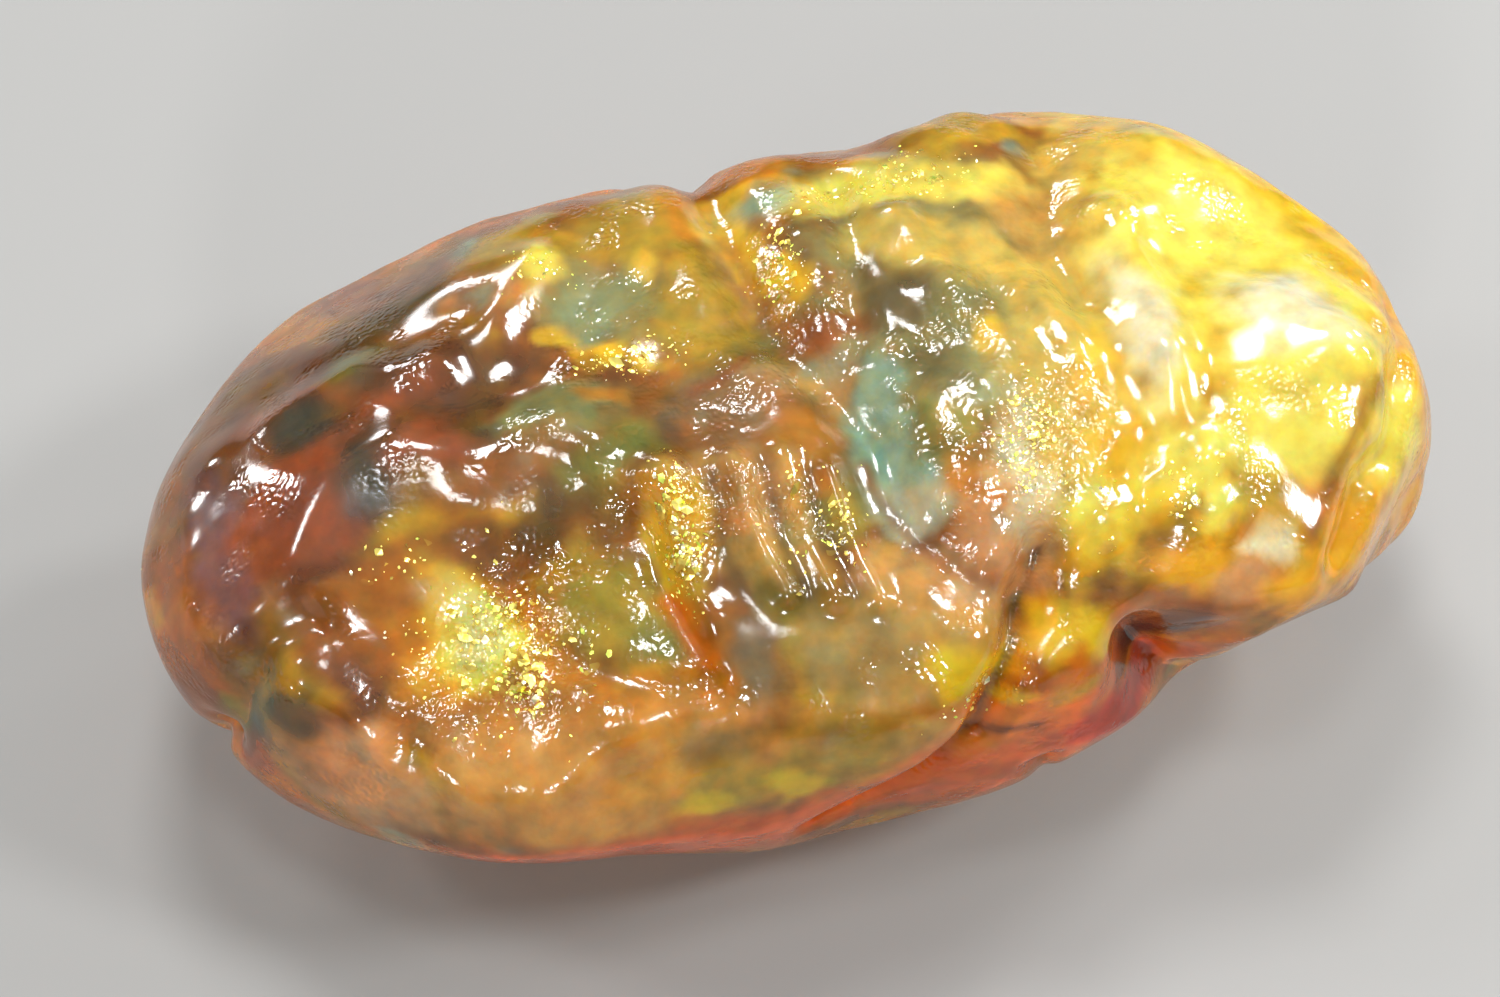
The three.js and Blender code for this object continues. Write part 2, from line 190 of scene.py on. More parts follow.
# Shelled-out hollows, as a struck flake leaves: middle, radius, depth.
HOLLOWS = [
    ((-9.6, -6.2, 5.2), 3.5, 0.95),  # the wide rough hollow
    ((-5.9, -5.9, 6.3), 2.9, 0.85),  # the small smooth hollow
    ((-2, -5.4, 6.9), 3.3, 0.55),
    ((7.9, -9.1, 1.6), 2.3, 1.3),  # the dark pocket between the lobes
    ((10, -8.6, 0), 3.2, 1.3),
    ((-4.4, 1.4, 7.5), 2.9, 0.45),
    ((-8.2, 0.4, 7.1), 2.3, 0.3),
    ((15.9, -4.9, 0.8), 3.4, 0.45),
    ((6.9, 1.2, 7.3), 2.2, 0.35),
    ((11.4, 1.2, 6.6), 2.3, 0.35),
    ((-14.6, 3.8, 3.8), 2.8, 0.45),
    ((-9, 8.4, 0.5), 4, 0.9),
    ((1, 9.6, -2.5), 3.6, 0.8),
    ((12, 7.6, 1), 3.6, 0.9),
    ((-16.8, 1, -1.5), 3.2, 0.6),
    ((17, -1, -1.5), 3.2, 0.6),
    ((-6, -9.6, -2.8), 3.5, 0.5),
    ((0.2, -9.6, -1.4), 3, 0.6),
]
HOLLOW_EDGE = 9.0  # how sharp a hollow's edge is

# Nearly flat chips: outward direction, distance from the body's middle.
CHIPS = [
    ((-0.8, 0.5, 0.3), 15.9),
    ((-0.66, -0.7, -0.05), 15),
    ((-0.95, 0.05, -0.3), 16.9),
    ((-0.86, -0.48, 0.1), 17),
    ((0.76, 0.58, 0.3), 14.8),
    ((0.3, 0.72, 0.62), 12.2),
    ((0.85, -0.1, -0.5), 15.8),
    ((0.98, 0.05, 0.15), 17.1),
    ((-0.35, 0.6, 0.72), 10.8),
    ((0.1, 0.72, -0.68), 8.9),
    ((-0.55, 0.62, -0.55), 12),
    ((0.35, -0.7, -0.62), 9.6),
    ((0.06, -0.95, -0.3), 9.35),
    ((0, -0.55, -0.84), 8.3),
    ((-0.75, -0.1, -0.66), 13.6),
    ((0.72, 0.1, -0.7), 13.6),
    ((0, 0.5, -0.87), 8.2),
    ((-0.3, -0.75, -0.6), 10.2),
]
CHIP_EDGE = 0.6  # how far a chip's edge is rounded

# The rind, a rougher, knotted skin, covers all but the open side, which faces the camera; its orange
# colour with small specks is a painted glow of light through the thin edges. Keys: the open side's
# way, how far an outward direction lies along it where the rind starts and ends, and the strength of
# the painted glow.
RIND_AND_EDGE_GLOW = {"way": np.array([-0.12, -0.57, 0.81]), "edge": (0.02, 0.45), "strength": 0.8}

# Scallops: small flake scars all over, each a shallow bowl round one of these scattered points. A
# higher "crest" gives sharper crests between them.
SCALLOPS = {"count": 70, "depth": 0.05, "middle": 0.22, "scatter": 0.55, "seed": 1.0, "crest": 0.35}
GOLDEN_ANGLE = math.pi * (3 - math.sqrt(5))
TINY = 1e-300  # keeps a sum that goes into a logarithm above 0

# Low waves: share, and for each sine its steps along X, Y and Z and its start. They lose most of
# their height on two smooth swellings, given by middle and radii.
WAVES = [
    (1, ((1.9, 0.7, 0), 1.1), ((0, 1.7, -0.8), 0.4)),
    (1, ((1.3, 0, -1.5), 2.3), ((0.9, 2.1, 0), 4)),
    (0.6, ((3.1, 0, 1.2), 0), ((-1.1, 2.9, 0), 1), ((0, 0.5, 2.3), math.pi / 2)),
]
WAVE_HEIGHT = 0.045
WAVELESS = [((-13, -1, 5.4), (4, 4, 4)), ((-2, -9.2, 2), (6, 3, 3.5))]
WAVE_LOSS = 0.7

# Fine grain all over, and knots on the rind: height, size and seed of each layer of noise.
GRAIN = [(0.11, 2.3, 11), (0.025, 1.2, 12), (0.008, 0.5, 13)]
KNOTS = [(0.09, 1.5, 16), (0.03, 0.7, 17)]

# Rough, crystalline ground: strength, middle, radii.
ROUGH = [
    (1, (-9.3, -6.2, 5.4), (2.6, 2.4, 2.4)),  # the wide rough hollow
    (0.8, (-2, -5, 7), (2.8, 2, 1.6)),  # the ribs
    (0.6, (-7, -3.6, 7), (2.2, 1.3, 2)),
    (0.6, (4.6, -1.5, 7.4), (3.2, 4.6, 2.5)),  # broken ground of the right lobe
    (0.8, (6, -5, 6.6), (1.6, 2.2, 2)),
    (0.5, (0.2, 2, 7.5), (1.5, 2.2, 2)),
    (0.6, (-1.8, -0.9, 7.6), (1.8, 1.2, 1.5)),  # the waist's left side
]
# Its sharp crests and the fine grains on them: height, size and seed.
CRESTS, FINE_GRAINS = (0.09, 0.95, 14), (0.07, 0.55, 15)

# Where the fine relief dies out: two smooth swellings, and the knobs.
GRAINLESS = [((-12.6, -1.5, 5.6), (3.2, 3.2, 3.5)), ((-4, -9.4, 2.2), (7, 2.6, 2.6))]
GRAIN_LOSS = {"swellings": 0.75, "knobs": 0.85, "reach": 1.3, "edge": 0.6}

DRIFT = {"share": 0.4, "size": 1.1, "seed": 19, "edge": (0.04, 0.20)}  # drifts of small sunk bumps
RIDGE_SWELL = {"share": 0.4, "size": 1.6, "seed": 18}  # how a ridge's height comes and goes

# The right lobe is narrower at the front, and lies further back and higher. Each of these grows
# along X from its start to its end.
RIGHT_LOBE = {"narrow": (0.08, 4, 11), "back": (0.1, -4, 15), "up": (0.6, 2, 16)}

# The spangles: their depth, narrowness and thickness in radii; their scatter and least and largest
# radius in millimetres; their share of the size where flashes are faint, the spread of size and lean;
# the points on their ring; the clumps' size, and the noise values where a clump starts and is full.
SPANGLE = {"sink": 0.1, "narrow": 0.75, "bulge": 0.25, "scatter": 0.10, "radius": (0.03, 0.32),
           "least": 0.6, "spread": 0.55, "lean": 0.45, "points": 6, "clump": 1.1, "edge": (-0.2, 0.5)}

# The wrinkles of the right lobe's top, which run forward and to the right.
WRINKLES = {"middle": (4.4, -0.8, 7.3), "radii": (4.2, 5.2, 3.0), "way": np.array([0.41, -0.91, 0.0]),
            "stretch": 3.5, "pitch": 1.5, "height": 0.15, "seed": 51}

LATTICE = 256  # places before the noise's lattice repeats
MOVE = 100  # cells that the lattice is moved by, so that no place on the lump is negative
GAIN = 1.6  # brings the noise to about -1 to 1


def smooth(x, low, high):
    """0 below low, 1 above high, and the rise t^2 (3 - 2t) between them."""
    t = np.clip((x - low) / (high - low), 0, 1)
    return t * t * (3 - 2 * t)


def on_body(directions):
    """The plain body's point in each direction: the direction over the 2.5-norm of direction/half."""
    size = (np.abs(directions / HALF) ** POWER).sum(1) ** (-1 / POWER)
    return directions * size[:, None]


def outward(p):
    """The plain body's unit outward direction: the slope of |x/half|^2.5 along each axis."""
    slope = np.sign(p) * np.abs(p / HALF) ** (POWER - 1) / HALF
    return slope / np.linalg.norm(slope, axis=1)[:, None]


def fade(p, middle, radii):
    """A soft blot: e to the power of minus the squared distance from middle, counted in radii."""
    return np.exp(-(((p - np.array(middle)) / np.array(radii)) ** 2).sum(1))


def steps(p, middle, radius):
    """The squared distance from middle, counted in radii."""
    return (((p - np.array(middle)) / radius) ** 2).sum(1)


def cap(p, middle, radius):
    """A round cap, 1 - (distance/radius)^2, and 0 past the radius."""
    return np.maximum(0, 1 - steps(p, middle, radius))


def line_distance(p, points):
    """Distance from each p to the line through points: the least over its straight stretches."""
    points = np.array(points)
    best = np.full(len(p), np.inf)
    for a, b in zip(points[:-1], points[1:]):
        t = np.clip((p - a) @ (b - a) / ((b - a) @ (b - a)), 0, 1)
        best = np.minimum(best, np.linalg.norm(p - a - t[:, None] * (b - a), axis=1))
    return best


def scallop_height(p):
    """Squared distance to the nearest of the scattered middles, so each one is a shallow bowl.

    The crests between the bowls are rounded: the nearest is taken as -log(sum of e^(-k d^2)) / k.
    """
    count, scatter, seed = SCALLOPS["count"], SCALLOPS["scatter"], SCALLOPS["seed"]
    i = np.arange(count)
    nudge = 2 * scatter / count * np.sin(i * 78.233 + seed * 1.7)
    along = np.clip(1 - 2 * (i + 0.5) / count + nudge, -1, 1)
    around = i * GOLDEN_ANGLE + scatter * np.sin(i * 12.9898 + seed)
    ring = np.sqrt(1 - along**2)
    middles = on_body(np.stack([along, ring * np.cos(around), ring * np.sin(around)], 1))
    total = np.full(len(p), TINY)
    for middle in middles:
        total += np.exp(-SCALLOPS["crest"] * ((p - middle) ** 2).sum(1))
    return -SCALLOPS["depth"] * np.log(total) / SCALLOPS["crest"] - SCALLOPS["middle"]


def wrinkle_height(p):
    """Long crests that run down the top of the right lobe: 1 - 2|noise|, stretched along them."""
    along = p @ WRINKLES["way"]
    q = p - (1 - 1 / WRINKLES["stretch"]) * along[:, None] * WRINKLES["way"]
    crest = 1 - 2 * np.abs(gradient_noise(q, WRINKLES["pitch"], WRINKLES["seed"]))
    return WRINKLES["height"] * crest * fade(p, WRINKLES["middle"], WRINKLES["radii"])


def unevenness(p):
    """Low waves, products of sines, that keep the broad faces uneven and die out on two swellings."""
    waves = np.zeros(len(p))
    for share, *sines in WAVES:
        waves += share * np.prod([np.sin(p @ np.array(way) + start) for way, start in sines], axis=0)
    calm = sum(fade(p, middle, radii) for middle, radii in WAVELESS)
    return WAVE_HEIGHT * waves * (1 - WAVE_LOSS * np.minimum(calm, 1))


def gradient_noise(p, scale, seed):
    """Smooth noise from -1 to 1, one hill or dip about each scale millimetres.

    Each corner of a lattice has its own fixed direction, picked by a hash of its place. The value at
    a point blends, by an S-curve along each axis, the dot products of the eight corners' directions
    with the way from the corner to the point.
    """
    table = np.random.default_rng(seed)
    order = table.permutation(LATTICE)
    arrows = table.normal(size=(LATTICE, 3))
    arrows /= np.linalg.norm(arrows, axis=1)[:, None]
    q = p / scale + MOVE
    cell = np.floor(q).astype(int)
    local = q - cell
    blend = local**3 * (local * (local * 6 - 15) + 10)
    total = np.zeros(len(p))
    for corner in np.ndindex(2, 2, 2):
        place = (cell + corner) % LATTICE
        pick = order[(order[(order[place[:, 0]] + place[:, 1]) % LATTICE] + place[:, 2]) % LATTICE]
        share = np.prod(np.where(corner, blend, 1 - blend), axis=1)
        total += share * ((local - corner) * arrows[pick]).sum(1)
    return GAIN * total


def rind_and_edge_glow_share(p):
    """1 where the surface is turned away from the open side, and 0 on the open side."""
    # the rind's rougher skin, and its orange colour, a painted glow of light through the thin edges
    return 1 - smooth(outward(p) @ RIND_AND_EDGE_GLOW["way"], *RIND_AND_EDGE_GLOW["edge"])


def rough_share(p):
    """1 in the wide rough hollow, on the ribs and along the broken ground of the right lobe."""
    return np.minimum(sum(strength * fade(p, middle, radii) for strength, middle, radii in ROUGH), 1)


def calm_share(p):
    """Near 1 on the two smooth swellings and on the knobs, where the fine relief dies out."""
    calm = sum(fade(p, middle, radii) for middle, radii in GRAINLESS)
    left = 1 - GRAIN_LOSS["swellings"] * np.minimum(calm, 1)
    for middle, radius, _ in KNOBS:
        share = smooth(cap(p, middle, GRAIN_LOSS["reach"] * radius), 0, GRAIN_LOSS["edge"])
        left *= 1 - GRAIN_LOSS["knobs"] * share
    return 1 - left


def bump_share(p):
    """How strongly the small bumps stand: raised on rough ground, and sunk in drifts elsewhere."""
    rough = rough_share(p)
    drift = smooth(gradient_noise(p, DRIFT["size"], DRIFT["seed"]), *DRIFT["edge"])
    return rough - DRIFT["share"] * (1 - rough) * drift


def layers(p, noises):
    """The sum of layers of noise, each height times the noise of its size and seed."""
    return sum(height * gradient_noise(p, size, seed) for height, size, seed in noises)


def grain(p):
    """Fine relief: noise in three sizes, knots on the rind, sharp-crested grains on rough ground."""
    height, size, seed = CRESTS
    crest = height * (1 - 2 * np.abs(gradient_noise(p, size, seed)))
    rough = rough_share(p) * (crest + layers(p, [FINE_GRAINS]))
    return (1 - calm_share(p)) * (layers(p, GRAIN) + rind_and_edge_glow_share(p) * layers(p, KNOTS) + rough)


def relief(p):
    """How far the surface stands out from the plain body at each of the body's points."""
    height = scallop_height(p) + wrinkle_height(p) + unevenness(p) + grain(p)
    for middle, radii, rise in LUMPS:
        height += rise * fade(p, middle, radii)
    for points, width, depth in FURROWS:
        height -= depth * np.exp(-((line_distance(p, points) / width) ** 2))
    swell = 1 + RIDGE_SWELL["share"] * gradient_noise(p, RIDGE_SWELL["size"], RIDGE_SWELL["seed"])
    for points, width, rise in RIDGES:
        height += rise * swell * np.exp(-((line_distance(p, points) / width) ** 2))
    for middle, radius, rise in KNOBS:
        height += rise * cap(p, middle, radius) ** 2
    for middle, radius, depth in HOLLOWS:
        height -= depth * np.logaddexp(0, HOLLOW_EDGE * (1 - steps(p, middle, radius))) / HOLLOW_EDGE
    return height


def cut_chips(q):
    """Moves what lies past each chip's plane back onto it, with a softly rounded edge."""
    for direction, distance in CHIPS:
        normal = np.array(direction) / np.linalg.norm(direction)
        over = (q @ normal - distance) / CHIP_EDGE
        q = q - (CHIP_EDGE * np.logaddexp(0, over))[:, None] * normal
    return q


def shift_right_lobe(q, p):
    """The right lobe is narrower at the front, and lies a little further back and higher."""
    narrow, back, up = (amount * smooth(p[:, 0], start, end)
                        for amount, start, end in RIGHT_LOBE.values())
    back = back - np.where(p[:, 1] < 0, p[:, 1] * narrow, 0)
    return q + np.stack([np.zeros(len(p)), back, up], 1)


def lump_surface(p):
    """The lump's surface point, in millimetres from the body's middle, for each of the body's points."""
    q = cut_chips(p + relief(p)[:, None] * outward(p))
    q = shift_right_lobe(q, p)
    q[:, 2] = np.maximum(q[:, 2], FLOOR)
    return q


def box_grid(steps):
    """Directions and four-sided faces of a box's surface grid, with so many steps on each axis.

    Each of the six sides is the function (1, tan u, tan v), turned, for u and v from -45 to 45
    degrees, and sized by the square roots of the body's half axes. Points that two sides share
    are merged.
    """
    points, faces, start = [], [], 0
    for axis in range(3):
        first, second = (axis + 1) % 3, (axis + 2) % 3
        edges = [np.tan(np.linspace(-math.pi / 4, math.pi / 4, steps[k] + 1)) for k in (first, second)]
        u, v = (grid.ravel() for grid in np.meshgrid(*edges, indexing="ij"))
        i, j = (grid.ravel() for grid in np.indices((steps[first], steps[second])))
        row = steps[second] + 1
        corner = i * row + j
        face = np.stack([corner, corner + row, corner + row + 1, corner + 1], 1)
        for sign in (1, -1):
            side = np.empty((len(u), 3))
            side[:, axis], side[:, first], side[:, second] = sign, u, v
            points.append(side)
            faces.append(face[:, ::sign] + start)
            start += len(u)
    points, faces = np.concatenate(points), np.concatenate(faces)
    key = np.round(points * MERGE).astype(np.int64)
    _, kept, merged = np.unique(key, axis=0, return_index=True, return_inverse=True)
    points = points[kept] * np.sqrt(HALF)
    return points / np.linalg.norm(points, axis=1)[:, None], merged.reshape(-1)[faces]


# ------------ colours of the lump

def linear(red, green, blue):
    """A colour on the screen's scale, 0 to 255, as the linear values that shaders use."""
    c = np.array([red, green, blue]) / 255
    return np.where(c <= 0.04045, c / 12.92, ((c + 0.055) / 1.055) ** 2.4)


COLOURS = {
    "rust": (150, 98, 40),
    "rind_and_edge_glow": (234, 136, 18),
    "amber": (255, 192, 48),
    "peach": (238, 172, 86),
    "umber": (84, 56, 30),
    "dark olive": (88, 80, 42),
    "red veil": (142, 82, 62),
    "ember": (158, 90, 52),
    "deep teal": (36, 66, 56),
    "haze": (118, 96, 100),
    "honey": (208, 138, 34),
    "orange": (242, 130, 14),
    "olive": (188, 162, 48),
    "moss": (128, 136, 56),
    "grey green": (140, 150, 96),
    "grey brown": (142, 122, 86),
    "sea green": (148, 196, 170),
    "mist": (206, 206, 170),
    "pink": (226, 176, 122),
    "tan": (218, 172, 84),
    "gold": (255, 212, 40),
    "yellow": (255, 244, 104),
    "straw": (232, 206, 96),
    "pale gold and painted highlight": (255, 251, 206),
    "fire": (238, 108, 4),
    "red": (198, 52, 2),
    "dark": (30, 10, 10),
}
COLOURS = {name: linear(*screen) for name, screen in COLOURS.items()}

# Cloudy fields all over: colour, size in millimetres, seed, lowest noise value, strength. A cloud
# reaches its full strength CLOUD_EDGE above its lowest noise value.
CLOUD_EDGE = 0.4
CLOUDS = [
    ("honey", 4, 31, -0.1, 0.75),
    ("moss", 3.2, 32, 0.05, 0.5),
    ("gold", 2.4, 33, 0.2, 0.55),
    ("umber", 2, 34, 0.1, 0.45),
    ("pink", 2.8, 35, 0.25, 0.5),
    ("sea green", 1.7, 36, 0.38, 0.55),
]

# Patches laid over one another in this order: colour, middle, radii, strength.
PATCHES = [
    # broad casts of the two lobes and of the low sides
    ("umber", (-12.5, 1.5, 5.6), (5, 6.5, 5), 0.8),
    ("gold", (12.5, 0.5, 4.5), (5.5, 8.5, 6), 0.95),
    ("amber", (16.2, -2.5, 2.5), (2.8, 6, 4.5), 0.9),
    ("grey green", (4.2, 1, 7.5), (4.4, 5, 2.5), 0.85),
    ("orange", (4, -9.6, 1), (7, 2, 4), 0.8),
    ("peach", (-7.6, -9, 3), (6.5, 2.2, 2), 0.9),
    ("pink", (-13.2, -7.4, 2), (2.2, 1.6, 1.4), 0.7),
    # deep orange along the lower front rim: the amber's colour, and a painted glow of light through the
    # thin rim
    ("fire", (-6, -9.6, -0.6), (9.5, 1.8, 2.2), 1),
    # the smooth window of the left lobe, and its rim
    ("red veil", (-13.2, -1.9, 5.6), (2.6, 2.2, 2.2), 0.65),
    ("haze", (-15.5, -0.8, 4.6), (0.9, 2.2, 1.8), 0.85),
    ("haze", (-15.5, -3, 4.1), (1.3, 1.5, 1.6), 0.9),
    ("deep teal", (-13, 0.9, 6), (1.1, 1.3, 1), 0.8),
    ("deep teal", (-11.6, -1.8, 6.4), (0.9, 1.6, 1), 0.85),
    ("deep teal", (-12.2, 0, 6.3), (0.6, 0.4, 1), 0.6),
    ("ember", (-9.9, -1.2, 6.8), (0.9, 1, 1), 0.8),
    ("moss", (-11.2, 2.2, 6.5), (1.1, 0.6, 1), 0.6),
    ("haze", (-11.5, 7.2, 3.6), (1.6, 0.9, 1.6), 0.55),
    ("honey", (-12.8, 6, 4.4), (1.5, 0.9, 1.3), 0.8),
    ("dark olive", (-10.2, 4.2, 6.4), (1.8, 1.4, 1.2), 0.85),
    ("rust", (-9, 2.6, 6.9), (1.4, 0.7, 1), 0.7),
    ("rust", (-16.6, 3, 3), (1.4, 4, 3), 0.8),
    # the nub at the left end
    ("umber", (-13.4, -3.5, 5.5), (1.3, 0.8, 1), 0.9),
    ("rust", (-17.2, -3, 2.6), (1.4, 1.8, 2), 0.9),
    ("umber", (-16.9, -3.9, 1.8), (0.7, 0.7, 1), 0.6),
    ("moss", (-16.5, -4.7, 2), (0.5, 0.7, 0.9), 0.9),
    ("olive", (-14.5, -4.6, 4.3), (0.7, 0.7, 0.8), 0.55),
    ("umber", (-14.9, -4.4, 4.1), (1.6, 0.9, 1.2), 0.55),
    ("deep teal", (-14.5, -6, 3.3), (0.6, 0.6, 0.8), 0.85),
    ("deep teal", (-15.8, -5.6, 1.9), (0.6, 0.5, 0.7), 0.8),
    ("ember", (-16, -5.6, 0.6), (1.1, 0.7, 1.2), 0.85),
    # the wide rough hollow
    ("honey", (-9.9, -6, 5.4), (3, 2.5, 2.2), 0.95),
    # rust and umber at the hollow's left edge: brown colour, and painted shade where the hollow's rim
    # shades it
    ("rust", (-12.9, -5.8, 4.7), (1.2, 1.9, 1.5), 0.95),
    ("umber", (-12.9, -6.2, 4.3), (0.9, 1.2, 1), 0.85),
    ("rust", (-11, -4.3, 6), (1.6, 0.7, 0.9), 0.7),
    ("gold", (-9.8, -6, 5.6), (1.6, 1.6, 1.3), 0.85),
    ("yellow", (-9.9, -5.9, 5.7), (1.2, 1.4, 1.1), 0.9),
    ("pale gold and painted highlight", (-10, -5.7, 5.7), (0.7, 1, 0.8), 0.35),
    ("olive", (-11.2, -3.3, 6.3), (1.4, 0.6, 0.8), 0.6),
    # belly of the left lobe
    ("honey", (-7, -8.2, 4.5), (2.4, 0.9, 0.8), 0.7),
    ("tan", (0.8, -8.2, 5), (2.6, 1.6, 1.6), 0.9),
    ("olive", (-0.8, -9.5, 2.7), (2.2, 0.9, 1.2), 0.7),
    ("olive", (-3.6, -9.6, 2.5), (1.8, 0.9, 0.9), 0.65),
    ("gold", (-4.6, -9.6, 2.1), (1, 0.6, 0.5), 0.75),
    ("gold", (-2.1, -9.7, 2.3), (0.8, 0.5, 0.5), 0.7),
    ("grey brown", (-3, -7.9, 5.3), (0.8, 0.8, 0.9), 0.9),
    ("grey brown", (-0.4, -8.3, 5), (1.8, 1.3, 1.3), 0.5),
    ("grey brown", (-3.8, -9.1, 3.5), (0.9, 0.6, 0.6), 0.65),
    # the small smooth hollow and the brown ground behind it
    ("olive", (-6, -5.9, 6.3), (1.8, 1.5, 1.4), 0.97),
    ("moss", (-5.2, -7.1, 5.8), (1.1, 0.7, 0.8), 0.8),
    ("rust", (-8.2, -2.4, 7), (1.9, 1, 1.4), 0.8),
    ("dark olive", (-6.6, -3.6, 7.1), (1.6, 1, 1.2), 0.8),
    ("umber", (-8.7, -4.2, 6.6), (1.3, 0.5, 1), 0.55),
    ("grey green", (-6.6, -0.7, 7.4), (1.7, 0.8, 1), 0.8),
    # the top, left of the waist
    ("umber", (-8.5, 0.9, 7.1), (2, 1, 1.2), 0.8),
    ("moss", (-5.3, -2.2, 7.4), (1.5, 1.1, 1), 0.85),
    ("honey", (-5.6, -0.6, 7.4), (0.9, 0.3, 0.6), 0.85),
    ("deep teal", (-3.7, -1.9, 7.5), (0.4, 0.5, 0.6), 0.7),
    ("grey brown", (-2.3, -1.2, 7.6), (1.5, 1.1, 1), 0.65),
    ("olive", (-2.6, 1.8, 7.6), (1.8, 1.6, 1.2), 0.85),
    ("grey green", (-4.8, 3.1, 7.3), (1.6, 1.7, 1.2), 0.9),
    ("sea green", (-4.9, 2.7, 7.3), (0.8, 0.8, 1), 0.15),
    ("gold", (-4.7, 1.1, 7.5), (0.5, 0.4, 0.6), 0.95),
    ("gold", (-3.8, 0.5, 7.5), (0.5, 0.4, 0.6), 0.95),
    ("gold", (-6, 2, 7.3), (0.7, 0.4, 0.6), 0.75),
    ("gold", (-3.6, 3.6, 7.3), (0.4, 0.9, 0.8), 0.7),
    ("olive", (-3.4, 5.4, 6.8), (2, 1.6, 1.2), 0.85),
    ("olive", (-2.4, 4.6, 7.1), (1.1, 1, 1), 0.75),
    ("olive", (-6.8, 5.4, 6.5), (1.6, 1.6, 1.2), 0.8),
    ("yellow", (-6.1, 4.3, 7), (0.7, 1, 0.8), 0.9),
    # the ribs
    ("tan", (-2.1, -4.8, 6.9), (2.4, 1.9, 1.6), 0.85),
    ("rust", (-2.9, -4.4, 7.1), (0.5, 1.2, 1), 0.65),
    ("olive", (0.1, -5, 6.9), (0.7, 1.4, 1), 0.75),
    ("pink", (-2, -4.4, 7.1), (0.9, 1.2, 0.9), 0.5),
    ("grey green", (-0.7, -5, 6.9), (0.8, 1.4, 0.9), 0.45),
    ("gold", (-4.1, -5, 6.9), (0.6, 1.8, 0.9), 0.75),
    # the waist
    ("honey", (-1.8, 4.9, 7), (0.5, 1.4, 1), 0.75),
    ("straw", (-0.8, 4.4, 7.1), (0.9, 1.4, 0.9), 0.85),
    ("gold", (-0.5, 3.2, 7.4), (0.6, 1.5, 1), 0.9),
    ("gold", (0.1, 2.2, 7.5), (0.6, 0.7, 0.8), 0.95),
    ("rust", (0.7, 0.1, 7.6), (1.2, 0.6, 0.8), 0.95),
    ("sea green", (0.4, 5.1, 7), (0.7, 0.8, 0.8), 0.9),
    ("gold", (-0.5, 5.7, 6.8), (0.6, 0.4, 0.7), 0.7),
    # the top, right of the waist
    ("rust", (4, 7.2, 5.7), (3, 0.9, 1.3), 0.95),
    ("olive", (5.6, 7.1, 5.7), (1.3, 0.8, 0.9), 0.9),
    ("yellow", (3, 4.8, 7), (2.3, 1.2, 1), 0.97),
    ("straw", (3.3, 2.6, 7.4), (1.5, 1.1, 0.9), 0.85),
    ("yellow", (5.6, 4.3, 7), (1.5, 0.8, 1), 0.9),
    ("dark olive", (2.5, 0.6, 7.5), (1.3, 1.5, 1), 0.8),
    ("dark olive", (3.2, -1.6, 7.4), (1, 0.8, 1), 0.7),
    ("gold", (4.9, -0.9, 7.5), (0.4, 0.7, 0.6), 0.9),
    ("grey green", (1.7, -3.4, 7.4), (1.4, 3, 1), 0.9),
    ("sea green", (1.4, -2.4, 7.5), (1, 1.4, 1), 0.75),
    ("sea green", (1.9, -4.6, 7.1), (1, 1.5, 1), 0.85),
    ("moss", (2.9, -3.6, 7.3), (0.4, 1.2, 1), 0.8),
    ("mist", (1.6, -5, 7), (0.9, 1, 0.9), 0.85),
    ("honey", (3.4, -4.8, 7), (0.9, 1.4, 0.9), 0.9),
    ("sea green", (4.3, -2.7, 7.4), (0.7, 0.5, 0.8), 0.65),
    ("pink", (3.1, -6.3, 6.5), (1.1, 1, 0.9), 0.8),
    ("straw", (6.3, -3.4, 7.1), (2.2, 3.6, 1.4), 0.8),
    ("pale gold and painted highlight", (4.6, -5.2, 6.8), (0.9, 2, 1), 0.6),
    ("straw", (7.4, 0.2, 7.2), (1.6, 2.4, 1), 0.85),
    ("straw", (5.6, 1.6, 7.4), (1.6, 1.3, 1), 0.85),
    ("tan", (7, 3.2, 7.1), (1.4, 1.4, 1), 0.7),
    ("straw", (8.8, 5.1, 6.3), (1.7, 1.5, 1.2), 0.8),
    ("straw", (9.4, 7.2, 4.9), (2, 1.2, 1.4), 0.8),
    ("sea green", (10.9, 5.7, 5.5), (0.8, 0.6, 0.8), 0.45),
    ("gold", (7.2, -2.7, 7.1), (0.9, 1.6, 0.9), 0.6),
    ("gold", (7.7, -5.2, 6.5), (1.3, 1, 0.9), 0.8),
    # the right lobe: bright top and dome with painted highlights, nodules at its front, and an amber end
    ("yellow", (9.4, -1.5, 6.9), (1.4, 3.8, 1.1), 0.9),
    # painted highlight: near-white down the ridge of knobs
    ("pale gold and painted highlight", (8.9, -1.6, 7), (0.9, 2.8, 1), 0.95),
    ("yellow", (11.4, 2.4, 6.2), (3.2, 2.8, 2), 0.95),
    ("yellow", (12.8, -2.2, 5.7), (2.6, 3.6, 2.4), 0.95),
    # painted highlights: near-white on the dome and on its knob
    ("pale gold and painted highlight", (12.2, -1.4, 6.1), (1.5, 1.8, 1.3), 0.95),
    ("pale gold and painted highlight", (13.1, -2.8, 5.7), (0.8, 0.8, 0.8), 0.6),
    ("yellow", (11.5, -5, 5.6), (1.8, 1.2, 1.2), 0.95),
    ("yellow", (9.3, -5.7, 5.9), (1.6, 0.9, 1), 0.95),
    ("yellow", (8.3, -6.2, 5.9), (0.7, 0.6, 0.7), 0.9),
    ("yellow", (9.7, -6.6, 5.4), (0.8, 0.5, 0.6), 0.85),
